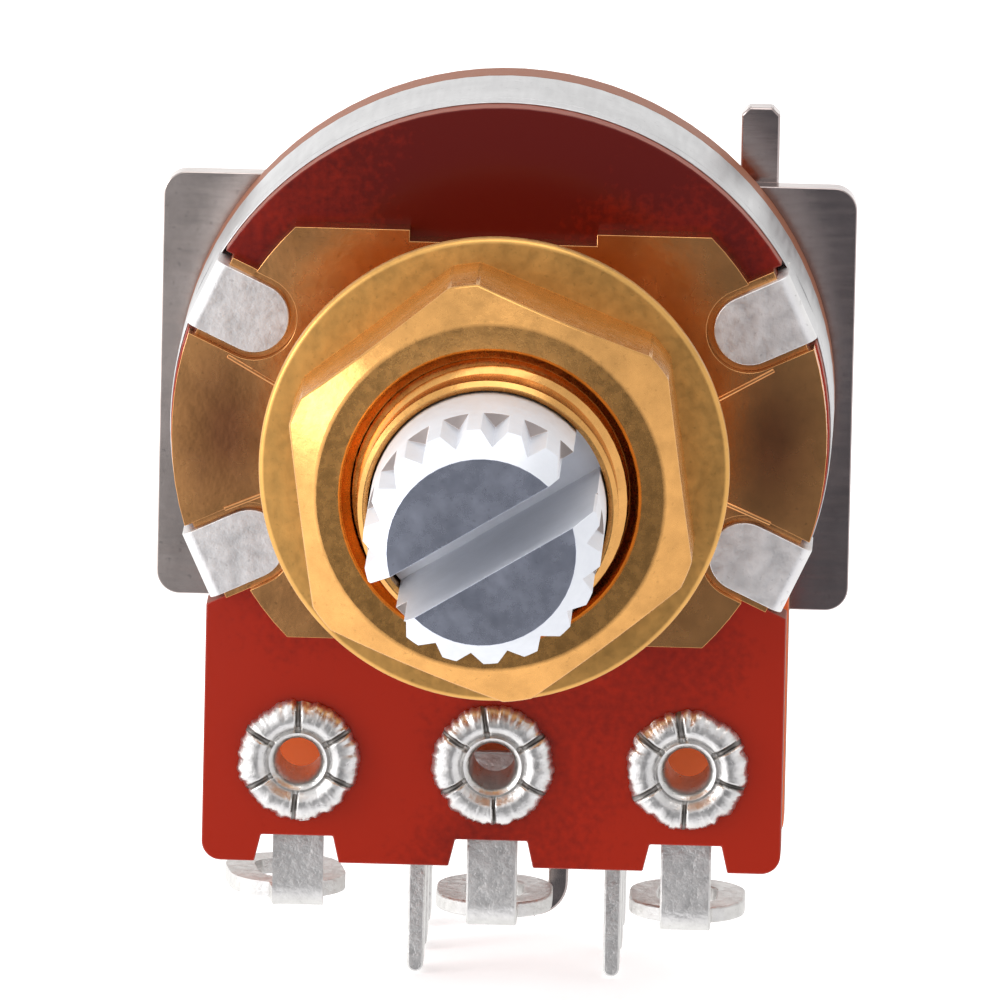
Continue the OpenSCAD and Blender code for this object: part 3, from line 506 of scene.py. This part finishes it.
def printed_film(name, tone):
    """Screen-printed ink: matt and slightly grainy, with the grain drawn coarse enough to show."""
    made, tree, shader, where = new_material(name)
    grain = tumbled_grain(tree, where, 0.1)
    tint = add_node(
        tree, "ShaderNodeMix", {"data_type": "RGBA", 6: dim(tone, 0.7), 7: tuple(tone)},
        {0: grain.outputs["Fac"]},
    )
    tree.links.new(tint.outputs[2], shader.inputs["Base Color"])
    shader.inputs["Roughness"].default_value = 0.6
    return made


FINISHES = {
    "turned_brass": turned_brass,
    "stamped_brass": stamped_brass,
    "yellow_plating": yellow_plating,
    "tin_plating": tin_plating,
    "stamped_tin": stamped_tin,
    "staked_tin": staked_tin,
    "tinplate_sheet": tinplate_sheet,
    "folded_tinplate": folded_tinplate,
    "rolled_steel": rolled_steel,
    "faced_aluminium": faced_aluminium,
    "grooved_aluminium": grooved_aluminium,
    "turned_aluminium": turned_aluminium,
    "laminate": lambda: laminate_face("laminate", colours().laminate, colours().laminate_dark),
    "laminate_edge": lambda: laminate_edge("laminate_edge", colours().laminate_edge),
    "rear_board": lambda: laminate_face("rear_board", colours().board, dim(colours().board, 0.6)),
    "rear_board_edge": lambda: laminate_edge("rear_board_edge", colours().board_edge),
    "white_nylon": lambda: moulded_nylon("white_nylon", colours().nylon),
    "black_nylon": lambda: moulded_nylon("black_nylon", colours().nylon_dark),
    "carbon_film": lambda: printed_film("carbon_film", colours().carbon),
    "silver_print": lambda: printed_film("silver_print", colours().silver_print),
}


def finish(name):
    """The material of that name, made on first use."""
    return bpy.data.materials.get(name) or FINISHES[name]()


# Pieces

NODE_BODY = {node: body for body, nodes in frame["record"]["behaviour"]["bodies"].items() for node in nodes}


class Span:
    """A node's box as the viewer sees it, in millimetres: left, right, back, front, and its middle."""

    def __init__(self, node):
        low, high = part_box(node)
        self.left, self.right = low[0] / MM, high[0] / MM
        self.back, self.front = -high[1] / MM, -low[1] / MM
        self.x = (self.left + self.right) / 2
        self.y = (low[2] / MM + high[2] / MM) / 2


def place(bm, name, node, finishes, edge=0, smooth_deg=30):
    """Makes an object of a bmesh in the frame's metres, in place of a node, with its edges rounded."""
    mesh = bpy.data.meshes.new(name)
    sharp_cos = math.cos(math.radians(smooth_deg))
    for face in bm.faces:
        face.smooth = True
    for rim in bm.edges:
        if len(rim.link_faces) == 2:
            rim.smooth = rim.link_faces[0].normal.dot(rim.link_faces[1].normal) > sharp_cos
    bm.to_mesh(mesh)
    bm.free()
    piece = bpy.data.objects.new(name, mesh)
    bpy.context.scene.collection.objects.link(piece)
    for each in finishes:
        mesh.materials.append(finish(each))
    if edge:
        bevel = piece.modifiers.new("rounded_edges", "BEVEL")
        bevel.width = edge
        bevel.segments = 2
        bevel.limit_method = "ANGLE"
        bevel.angle_limit = math.radians(smooth_deg)
    # Keeps flat faces flat to the light beside rounded edges
    normals = piece.modifiers.new("flat_faces", "WEIGHTED_NORMAL")
    normals.keep_sharp = True
    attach(piece, NODE_BODY[node])
    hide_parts(node)


def clean_copy(node):
    """A bmesh of a node's solid with its triangles joined and its flat faces whole."""
    weld = 0.0005 * MM
    flat_deg = 0.3
    bm = bmesh.new()
    bm.from_mesh(frame["nodes"][node].data)
    bmesh.ops.remove_doubles(bm, verts=bm.verts, dist=weld)
    bmesh.ops.dissolve_limit(
        bm, angle_limit=math.radians(flat_deg), use_dissolve_boundaries=False, verts=bm.verts, edges=bm.edges
    )
    bmesh.ops.recalc_face_normals(bm, faces=bm.faces)
    return bm


def dressed(node, finishes, edge, smooth_deg=30):
    """A node's own shape with softened edges."""
    place(clean_copy(node), node + "_finished", node, finishes, edge, smooth_deg)


def revolve(profile, steps, centre=(0, 0), closed=True):
    """Spins a profile of (radius, z) points around an axis along z. An open profile ends on the axis."""
    weld = 1e-5
    bm = bmesh.new()
    verts = [bm.verts.new((radius, 0, z)) for radius, z in profile]
    pairs = list(zip(verts, verts[1:] + verts[:1])) if closed else list(zip(verts, verts[1:]))
    edges = [bm.edges.new(pair) for pair in pairs]
    bmesh.ops.spin(
        bm, geom=verts + edges, cent=(0, 0, 0), axis=(0, 0, 1), angle=math.tau, steps=steps, use_merge=True
    )
    bmesh.ops.remove_doubles(bm, verts=bm.verts, dist=weld)
    bmesh.ops.recalc_face_normals(bm, faces=bm.faces)
    bmesh.ops.translate(bm, verts=bm.verts, vec=(centre[0], centre[1], 0))
    return bm


def face_viewer(bm):
    """Turns a shape drawn facing the viewer into the frame."""
    bmesh.ops.transform(bm, matrix=FACING, verts=bm.verts)
    return bm


def arc(centre_r, centre_z, radius, start_deg, end_deg, steps):
    """Points of (radius, z) along an arc, both ends included."""
    turns = [math.radians(start_deg + (end_deg - start_deg) * i / steps) for i in range(steps + 1)]
    return [(centre_r + radius * math.cos(turn), centre_z + radius * math.sin(turn)) for turn in turns]


def thread_ridge(root_r, crest_r, z_start, z_end):
    """A closed helical ridge, rooted under the bar's surface, that fades out at both ends."""
    pitch = sizes().thread_pitch / MM
    runout = sizes().thread_runout / MM
    steps = 56
    flank_deg = 30
    flank = (crest_r - root_r) * math.tan(math.radians(flank_deg))
    crest = pitch / 8
    mid = pitch / 2
    # Neighbouring turns stay apart under the surface
    buried = 0.05
    apart = 0.01
    inner_r = root_r - buried
    profile = [
        (inner_r, apart), (root_r, mid - crest / 2 - flank), (crest_r, mid - crest / 2),
        (crest_r, mid + crest / 2), (root_r, mid + crest / 2 + flank), (inner_r, pitch - apart),
    ]
    bm = bmesh.new()
    verts = [bm.verts.new((radius, 0, z_start + z)) for radius, z in profile]
    edges = [bm.edges.new(pair) for pair in zip(verts, verts[1:] + verts[:1])]
    turns = int((z_end - z_start - pitch) / pitch)
    bmesh.ops.spin(
        bm, geom=verts + edges, cent=(0, 0, 0), axis=(0, 0, 1), dvec=(0, 0, pitch / steps),
        angle=math.tau * turns, steps=steps * turns,
    )
    bmesh.ops.holes_fill(bm, edges=[rim for rim in bm.edges if rim.is_boundary], sides=0)
    first_crest = z_start + mid + crest / 2
    last_crest = z_start + turns * pitch + mid - crest / 2
    for vert in bm.verts:
        radius = vert.co.xy.length
        fade = min(1, (vert.co.z - first_crest) / runout, (last_crest - vert.co.z) / runout)
        scale = (inner_r + (radius - inner_r) * max(0, fade)) / radius
        vert.co.x *= scale
        vert.co.y *= scale
    bmesh.ops.recalc_face_normals(bm, faces=bm.faces)
    return bm


def merge(target, other):
    """Adds another bmesh's geometry to the first."""
    spare = bpy.data.meshes.new("spare")
    other.to_mesh(spare)
    other.free()
    target.from_mesh(spare)
    bpy.data.meshes.remove(spare)


class POT_OT_boards(bpy.types.Operator):
    """Element board, rear board and switch base with their cut edges"""

    bl_idname = "pot.boards"
    bl_label = "Boards"

    def execute(self, context):
        self.board("element_wafer", "laminate", "laminate_edge", "Y")
        self.board("rear_board", "rear_board", "rear_board_edge", "Y")
        self.board("switch_base", "laminate", "laminate_edge", "Z")
        return {"FINISHED"}

    def board(self, node, face_finish, edge_finish, thin_axis):
        """A board whose walls, all but the faces across its thin axis, show the cut plies."""
        axis = "XYZ".index(thin_axis)
        half_turned = 0.5
        bm = clean_copy(node)
        for face in bm.faces:
            if abs(face.normal[axis]) < half_turned:
                face.material_index = 1
        place(bm, node + "_finished", node, [face_finish, edge_finish], sizes().board_edge)


class POT_OT_plate(bpy.types.Operator):
    """Yellow front plate with its ears, coined seats and creases"""

    bl_idname = "pot.plate"
    bl_label = "Front plate"

    def execute(self, context):
        front = Span("front_plate").front
        # Start and end of the right side's creases, above and below the ear
        above = ((7.0, 1.95), (5.6, 1.15))
        below = ((7.0, -2.05), (5.7, -1.5))
        bm = bmesh.new()
        for side in (-1, 1):
            for start, end in (above, below):
                self.crease(bm, (side * start[0], start[1]), (side * end[0], end[1]), front)
        merge(face_viewer(bm), clean_copy("front_plate"))
        place(bm, "front_plate_finished", "front_plate", ["yellow_plating"], sizes().sheet_edge)
        return {"FINISHED"}

    def crease(self, bm, start, end, z):
        """A low rounded ridge between two points of the plate, half sunk in it."""
        radius = sizes().crease / MM / 2
        height_share = 0.7
        along = Vector(end) - Vector(start)
        middle = (Vector(end) + Vector(start)) / 2
        bar = bmesh.ops.create_cone(
            bm, cap_ends=True, segments=12, radius1=radius, radius2=radius, depth=along.length
        )["verts"]
        lay = Matrix.Rotation(math.radians(90), 4, "Y")
        turn = Matrix.Rotation(math.atan2(along.y, along.x), 4, "Z")
        flat = Matrix.Diagonal((1, 1, height_share, 1))
        move = Matrix.Translation((middle.x, middle.y, z))
        bmesh.ops.transform(bm, matrix=move @ flat @ turn @ lay, verts=bar)


class POT_OT_bushing(bpy.types.Operator):
    """Threaded bushing with its shoulder"""

    bl_idname = "pot.bushing"
    bl_label = "Bushing"

    def execute(self, context):
        body = Span("bushing")
        if Span("washer").front > body.front:
            raise RuntimeError("the washer stands past the end of the bushing")
        # Staked end in the plate, then the shoulder on it
        stake_r = 4.0
        shoulder_r = body.right
        shoulder_front = 0.8
        bevel = 0.12
        # Thread, with an undercut behind the plain rim at its end
        crest_r = 3.5
        root_r = crest_r - sizes().thread_depth / MM
        rim = sizes().bushing_rim / MM
        rim_r = crest_r - rim
        chamfer = rim * 0.6
        undercut_front = body.front - rim - 0.15
        undercut_slope = 0.05
        # Bore, clear of the shaft
        bore_r = Span("shaft").right + 0.05
        bore_chamfer = rim * 0.5
        profile = [
            (bore_r, body.back), (stake_r, body.back), (stake_r, 0), (shoulder_r - bevel, 0),
            (shoulder_r, bevel), (shoulder_r, shoulder_front - bevel), (shoulder_r - bevel, shoulder_front),
            (root_r, shoulder_front), (root_r, undercut_front), (rim_r, undercut_front + undercut_slope),
            (rim_r, body.front - chamfer), (rim_r - chamfer, body.front),
            (bore_r + bore_chamfer, body.front), (bore_r, body.front - bore_chamfer),
        ]
        bm = revolve(profile, steps=128)
        thread_start = shoulder_front + 0.1
        merge(bm, thread_ridge(root_r, crest_r, thread_start, body.front - rim))
        place(face_viewer(bm), "threaded_bushing", "bushing", ["turned_brass"])
        return {"FINISHED"}


class POT_OT_nut(bpy.types.Operator):
    """Hex nut and washer"""

    bl_idname = "pot.nut"
    bl_label = "Nut and washer"

    def execute(self, context):
        # The front cone leans only 30 degrees from the face, and its edge stays crisp
        dressed("hex_nut", ["turned_brass"], sizes().turned_edge, smooth_deg=16)
        washer = Span("washer")
        outer_r = washer.right
        bore_r = 3.8
        roll = 0.14
        profile = [
            (bore_r, washer.back), *arc(outer_r - roll, washer.back + roll, roll, -90, 0, 4),
            *arc(outer_r - roll, washer.front - roll, roll, 0, 90, 5), (bore_r, washer.front),
        ]
        place(face_viewer(revolve(profile, steps=160)), "washer_rolled", "washer", ["stamped_brass"])
        return {"FINISHED"}


class POT_OT_shaft(bpy.types.Operator):
    """Splined split shaft"""

    bl_idname = "pot.shaft"
    bl_label = "Shaft"

    def execute(self, context):
        finishes = ["faced_aluminium", "turned_aluminium", "grooved_aluminium"]
        bm = clean_copy("shaft")
        behind_tip = min(vert.co.y for vert in bm.verts) + 0.01 * MM
        # Only the ends of the knurl grooves face the viewer this far from the axis
        groove_r = 2.3 * MM
        facing_y = -0.9
        for face in bm.faces:
            middle = face.calc_center_median()
            if middle.y > behind_tip:
                face.material_index = 1
                if face.normal.y < facing_y and middle.xz.length > groove_r:
                    face.material_index = 2
        place(bm, "shaft_finished", "shaft", finishes, sizes().shaft_edge)
        return {"FINISHED"}


class POT_OT_eyelets(bpy.types.Operator):
    """Rolled and staked eyelets with their torn rims"""

    bl_idname = "pot.eyelets"
    bl_label = "Eyelets"

    def execute(self, context):
        for node in ("eyelet_left", "eyelet_middle", "eyelet_right"):
            self.eyelet(node)
        return {"FINISHED"}

    def eyelet(self, node):
        """A funnel, a rolled rim with six stake marks, a barrel and a rear flange."""
        span = Span(node)
        top = span.front
        base = Span("element_wafer").front
        height = top - base
        head_r = (span.right - span.left) / 2
        hole_r = 0.55
        barrel_r = 0.9
        flange_r = head_r - 0.3
        flange_front = span.back + 0.25
        flange_bevel = 0.1
        # Distance inside the head's edge, and share of its height
        roll = (
            (0.08, 0), (0, 0.2), (0.02, 0.4), (0.1, 0.7), (0.25, 0.92), (0.5, 1), (0.62, 0.95), (0.72, 0.7),
        )
        # Distance outside the hole's edge, and share of the head's height
        throat = ((0.27, 0.62), (0.2, 0.78), (0.12, 0.7), (0.04, 0.3))
        profile = [
            (hole_r, span.back), (flange_r - flange_bevel, span.back), (flange_r, flange_front),
            (barrel_r, flange_front), (barrel_r, base),
            *((head_r - inward, base + height * share) for inward, share in roll),
            *((hole_r + outward, base + height * share) for outward, share in throat),
            (hole_r, base - 0.1),
        ]
        bm = revolve(profile, steps=252)
        # Only the head over the board is battered, and only the depth of a mark gets the dark tin, which is
        # painted shade
        head_back = base - 0.02
        marks_from_r = hole_r + 0.2
        dark_front = base + 0.05
        dark_from_r = hole_r + 0.28
        dark_depth = 0.6
        for vert in bm.verts:
            if vert.co.z > head_back:
                self.batter(vert, base, top, head_r, marks_from_r, span.x)
        for face in bm.faces:
            middle = face.calc_center_median()
            depth = self.stake_mark(middle.x, middle.y, dark_from_r, span.x)
            if middle.z > dark_front and depth > dark_depth:
                face.material_index = 1
        bmesh.ops.recalc_face_normals(bm, faces=bm.faces)
        bmesh.ops.translate(bm, verts=bm.verts, vec=(span.x, span.y, 0))
        place(face_viewer(bm), node + "_rolled", node, ["tin_plating", "staked_tin"], smooth_deg=50)

    def batter(self, vert, base, top, head_r, marks_from_r, seed):
        """Tears a point of the head inward, presses the stake marks into it and raises small lumps."""
        rough = sizes().eyelet_rough / MM
        smooth_r = 1.1
        stake_depth = 0.35
        radius = vert.co.xy.length
        turn = math.atan2(vert.co.y, vert.co.x)
        ring = 3.1
        around = Vector((math.cos(turn) * ring, math.sin(turn) * ring, seed))
        rim_share = max(0, (radius - smooth_r) / (head_r - smooth_r))
        # Waves of the tear, from broad to fine: how close together, and how deep
        waves = ((1, 0.5), (3.1, 0.5), (7.3, 0.35))
        wander = sum(noise.noise(around * close) * deep for close, deep in waves)
        # The rim only wanders inward, so the head stays inside the solid's box
        uncut = 0.3
        scale = 1 + rim_share * (min(wander, uncut) - uncut) * rough / radius
        vert.co.x *= scale
        vert.co.y *= scale
        dent = self.stake_mark(vert.co.x, vert.co.y, marks_from_r, seed)
        lift = (vert.co.z - base) * (1 - stake_depth * dent)
        # Broad, middle and fine lumps
        lump = noise.noise(around * 1.7 + Vector((5, 0, 0))) * 0.07
        lump += noise.noise(vert.co * 4.0 + around) * 0.08
        lump += noise.noise(vert.co * 11.0) * 0.03
        if lift > 0.1:
            lift += lump * rim_share
        vert.co.z = min(base + lift, top)

    def stake_mark(self, x, y, start_r, seed):
        """How deep a stake mark is at a spot, from 0 to 1: six uneven radial marks, outside a radius."""
        stakes = 6
        start_slope = 0.06
        radius = math.hypot(x, y)
        share = (math.atan2(y, x) - math.pi / 2) / math.tau * stakes
        nearest = round(share) % stakes
        # Each mark stands a little aside of its place, in shares of the step, and has a width of its own
        shift = noise.noise(Vector((nearest * 2.3 + 0.4, seed, 0))) * 0.35
        half_width = 0.07 + 0.04 * noise.noise(Vector((nearest * 1.7 + 0.4, seed, 4)))
        aside = abs(share - round(share) - shift) * math.tau / stakes * radius
        across = math.exp(-((aside / half_width) ** 4))
        return across * min(1, max(0, (radius - start_r) / start_slope))


class POT_OT_terminals(bpy.types.Operator):
    """Terminals, switch pins and the strips behind them"""

    bl_idname = "pot.terminals"
    bl_label = "Terminals and pins"

    def execute(self, context):
        edge = sizes().sheet_edge
        for node in ("terminal_left", "terminal_middle", "terminal_right", "link_strip"):
            dressed(node, ["stamped_tin"], edge)
        for i in range(1, 7):
            dressed(f"pin_{i}", ["stamped_tin"], edge)
        dressed("hooked_strip", ["rolled_steel"], edge)
        return {"FINISHED"}


class POT_OT_can(bpy.types.Operator):
    """Tinplate can with its folded tabs, and the rivets behind it"""

    bl_idname = "pot.can"
    bl_label = "Can and rivets"

    def execute(self, context):
        self.can()
        for i in range(1, 5):
            self.rivet(f"rivet_{i}")
        return {"FINISHED"}

    def can(self):
        """The can, with a thin lip that laps over the back half of the board's edge above the terminals."""
        board = Span("element_wafer")
        # A hair inside the can's wall and clear of the board
        outer_r = Span("can").right - 0.01
        inner_r = board.right + 0.005
        lip_root = board.back - 0.1
        lip_front = (board.back + board.front) / 2
        outline = ((inner_r, lip_root), (outer_r, lip_root), (outer_r, lip_front), (inner_r, lip_front))
        # From a little below the axis on the right, over the top, to the same height on the left
        start = math.radians(-26)
        sweep = math.pi - 2 * start
        bm = bmesh.new()
        corners = [
            bm.verts.new((radius * math.cos(start), radius * math.sin(start), z)) for radius, z in outline
        ]
        section = bm.faces.new(corners)
        bmesh.ops.spin(bm, geom=[section], cent=(0, 0, 0), axis=(0, 0, 1), angle=sweep, steps=96)
        bmesh.ops.recalc_face_normals(bm, faces=bm.faces)
        merge(face_viewer(bm), clean_copy("can"))
        tab_back = -(board.front + 0.01) * MM
        for face in bm.faces:
            if face.calc_center_median().y < tab_back:
                face.material_index = 1
        place(bm, "can_finished", "can", ["tinplate_sheet", "folded_tinplate"], sizes().sheet_edge)

    def rivet(self, node):
        """A shank with a domed head at both ends."""
        span = Span(node)
        head_r = (span.right - span.left) / 2
        shank_r = 0.5
        head_h = 0.35
        dome_h = 0.27
        dome = [
            (head_r * math.sin(turn), dome_h * (1 - math.cos(turn)))
            for turn in map(math.radians, (0, 20, 40, 60, 80, 90))
        ]
        profile = [
            *((radius, span.back + z) for radius, z in dome),
            (head_r, span.back + head_h), (shank_r, span.back + head_h),
            (shank_r, span.front - head_h), (head_r, span.front - head_h),
            *((radius, span.front - z) for radius, z in reversed(dome)),
        ]
        bm = revolve(profile, steps=40, centre=(span.x, span.y), closed=False)
        place(face_viewer(bm), node + "_domed", node, ["tinplate_sheet"])


class POT_OT_cage(bpy.types.Operator):
    """Switch cage and ground tab of sheet steel"""

    bl_idname = "pot.cage"
    bl_label = "Cage"

    def execute(self, context):
        dressed("cage", ["rolled_steel"], sizes().cage_edge)
        dressed("ground_tab", ["rolled_steel"], sizes().sheet_edge)
        return {"FINISHED"}


class POT_OT_inside(bpy.types.Operator):
    """Rotor, wiper, films, slider and moving contacts"""

    bl_idname = "pot.inside"
    bl_label = "Inner parts"

    def execute(self, context):
        # These solids have the right shape already and only take a finish
        for node, name in (
            ("rotor", "white_nylon"), ("wiper", "turned_brass"), ("bridge_left", "turned_brass"),
            ("bridge_right", "turned_brass"), ("detent_ball", "rolled_steel"),
            ("resistive_track", "carbon_film"), ("collector_ring", "silver_print"),
        ):
            solid = frame["nodes"][node]
            solid.data.materials.clear()
            solid.data.materials.append(finish(name))
        dressed("slider", ["black_nylon"], sizes().sheet_edge)
        return {"FINISHED"}


class POT_OT_stage(bpy.types.Operator):
    """Pale floor, soft light and the photograph's camera"""

    bl_idname = "pot.stage"
    bl_label = "Stage"

    # The camera looks down on the shaft axis by this angle
    look_down = math.radians(11)

    def execute(self, context):
        self.floor()
        self.sky()
        self.lights()
        self.camera()
        context.scene.view_settings.view_transform = "Standard"
        return {"FINISHED"}

    def floor(self):
        """A wide pale floor just under the pins."""
        gap = 0.05 * MM
        floor_r = 1.5
        paper_mm = 20
        bm = bmesh.new()
        bmesh.ops.create_circle(bm, cap_ends=True, segments=96, radius=floor_r)
        bmesh.ops.translate(bm, verts=bm.verts, vec=(0, 0, CAD_BOX[0][2] - gap))
        mesh = bpy.data.meshes.new("studio_floor")
        bm.to_mesh(mesh)
        bm.free()
        floor = bpy.data.objects.new("studio_floor", mesh)
        bpy.context.scene.collection.objects.link(floor)
        tone = colours().floor
        made, tree, shader, where = new_material("studio_floor")
        paper = add_node(
            tree, "ShaderNodeTexNoise", {"Scale": 1 / paper_mm, "Detail": 2.0}, {"Vector": where}
        )
        tint = add_node(
            tree, "ShaderNodeMix", {"data_type": "RGBA", 6: dim(tone, 0.98), 7: tuple(tone)},
            {0: paper.outputs["Fac"]},
        )
        tree.links.new(tint.outputs[2], shader.inputs["Base Color"])
        shader.inputs["Roughness"].default_value = 0.9
        # A little light of its own keeps the paper white under the part
        shader.inputs["Emission Color"].default_value = (1, 1, 1, 1)
        shader.inputs["Emission Strength"].default_value = 0.45
        mesh.materials.append(made)
        # Metal mirrors the studio instead of the floor
        floor.visible_glossy = False

    def sky(self):
        """White all round, with a grey patch in the direction that the part's front faces mirror."""
        world = bpy.context.scene.world or bpy.data.worlds.new("studio")
        bpy.context.scene.world = world
        world.use_nodes = True
        tree = world.node_tree
        tree.nodes.clear()
        spot = add_node(tree, "ShaderNodeTexCoord")
        mirrored = Vector((0.0, -math.cos(self.look_down), -math.sin(self.look_down)))
        near = add_node(
            tree, "ShaderNodeVectorMath", {"operation": "DOT_PRODUCT", 1: mirrored},
            {0: spot.outputs["Generated"]},
        )
        ramp = add_node(tree, "ShaderNodeValToRGB", links={"Fac": near.outputs["Value"]})
        stops = ramp.color_ramp.elements
        stops[0].position = 0.0
        stops[0].color = (1.0, 1.0, 1.0, 1)
        stops[1].position = 1.0
        stops[1].color = (0.12, 0.125, 0.14, 1)
        for position, level in ((0.65, 0.97), (0.8, 0.8), (0.89, 0.5), (0.95, 0.24), (0.98, 0.15)):
            stop = stops.new(position)
            stop.color = (level, level, level * 1.04, 1)
        aim = add_node(tree, "ShaderNodeSeparateXYZ", links={"Vector": spot.outputs["Generated"]})
        # Brighter toward the horizon and toward the left
        rise = add_node(
            tree, "ShaderNodeMapRange", {"From Min": 0.0, "From Max": 0.85, "To Min": 1.45, "To Max": 0.85},
            {"Value": aim.outputs["Z"]},
        )
        side = add_node(
            tree, "ShaderNodeMapRange", {"From Min": -1.0, "From Max": 1.0, "To Min": 1.15, "To Max": 0.75},
            {"Value": aim.outputs["X"]},
        )
        level = add_node(
            tree, "ShaderNodeMath", {"operation": "MULTIPLY"},
            {0: rise.outputs["Result"], 1: side.outputs["Result"]},
        )
        light = add_node(
            tree, "ShaderNodeBackground", links={"Color": ramp.outputs["Color"], "Strength": level.outputs[0]}
        )
        add_node(tree, "ShaderNodeOutputWorld", links={"Surface": light.outputs["Background"]})

    def lights(self):
        """A soft box above, one on the left and a small bright card low on the left."""
        for name, spot, size_mm, watts in (
            ("soft_box_above", (20, -60, 260), 220, 0.2),
            ("soft_box_left", (-260, -120, 90), 160, 0.28),
            ("card_low_left", (-29, -48, -10), 44, 0.0025),
        ):
            lamp = bpy.data.lights.new(name, "AREA")
            lamp.shape = "DISK"
            lamp.size = size_mm * MM
            lamp.energy = watts
            holder = bpy.data.objects.new(name, lamp)
            holder.location = Vector(spot) * MM
            holder.rotation_euler = (-holder.location).to_track_quat("-Z", "Y").to_euler()
            holder.visible_camera = False
            bpy.context.scene.collection.objects.link(holder)

    def camera(self):
        """Far away and slightly above, with the shaft axis where the photograph has it."""
        distance = 700 * MM
        from_right = math.radians(1.44)
        roll = math.radians(1.25)
        px_per_mm = 39.0
        # Where the shaft axis meets the front of the element board in the photograph
        axis_px = (500, 432)
        anchor = Vector((0, -Span("element_wafer").front * MM, 0))
        toward = Vector((
            math.sin(from_right) * math.cos(self.look_down), -math.cos(from_right) * math.cos(self.look_down),
            math.sin(self.look_down),
        ))
        level = Vector((math.cos(from_right), math.sin(from_right), 0))
        upright = toward.cross(level)
        right = level * math.cos(roll) + upright * math.sin(roll)
        up = upright * math.cos(roll) - level * math.sin(roll)
        shift_right = (PHOTO_PX / 2 - axis_px[0]) / px_per_mm * MM
        shift_down = (PHOTO_PX / 2 - axis_px[1]) / px_per_mm * MM
        target = anchor + right * shift_right - up * shift_down
        data = bpy.data.cameras.new("photo_camera")
        data.sensor_width = 36
        data.sensor_fit = "HORIZONTAL"
        data.lens = px_per_mm * distance / MM / PHOTO_PX * data.sensor_width
        data.clip_start = 0.01
        data.clip_end = 50
        camera = bpy.data.objects.new("photo_camera", data)
        axes = Matrix((right, up, toward)).transposed().to_4x4()
        camera.matrix_world = Matrix.Translation(target + toward * distance) @ axes
        bpy.context.scene.collection.objects.link(camera)
        bpy.context.scene.camera = camera


class POT_PT_panel(bpy.types.Panel):
    """The sizes, the colours and the buttons that build each piece"""

    bl_label = "Potentiometer"
    bl_idname = "POT_PT_panel"
    bl_space_type = "VIEW_3D"
    bl_region_type = "UI"
    bl_category = "Potentiometer"

    def draw(self, context):
        for group in (context.scene.pot_sizes, context.scene.pot_colours):
            box = self.layout.box()
            for name in group.__annotations__:
                box.prop(group, name)
        for step in STEPS:
            self.layout.operator(step.bl_idname)


STEPS = (
    POT_OT_boards, POT_OT_plate, POT_OT_bushing, POT_OT_nut, POT_OT_shaft, POT_OT_eyelets, POT_OT_terminals,
    POT_OT_can, POT_OT_cage, POT_OT_inside, POT_OT_stage,
)
CLASSES = (PotSizes, PotColours, *STEPS, POT_PT_panel)


def register():
    for each in CLASSES:
        bpy.utils.register_class(each)
    bpy.types.Scene.pot_sizes = bpy.props.PointerProperty(type=PotSizes)
    bpy.types.Scene.pot_colours = bpy.props.PointerProperty(type=PotColours)


def unregister():
    del bpy.types.Scene.pot_colours
    del bpy.types.Scene.pot_sizes
    for each in reversed(CLASSES):
        bpy.utils.unregister_class(each)


def main():
    register()
    bpy.ops.pot.boards()
    bpy.ops.pot.plate()
    bpy.ops.pot.bushing()
    bpy.ops.pot.nut()
    bpy.ops.pot.shaft()
    bpy.ops.pot.eyelets()
    bpy.ops.pot.terminals()
    bpy.ops.pot.can()
    bpy.ops.pot.cage()
    bpy.ops.pot.inside()
    bpy.ops.pot.stage()


if __name__ == "__main__":
    main()
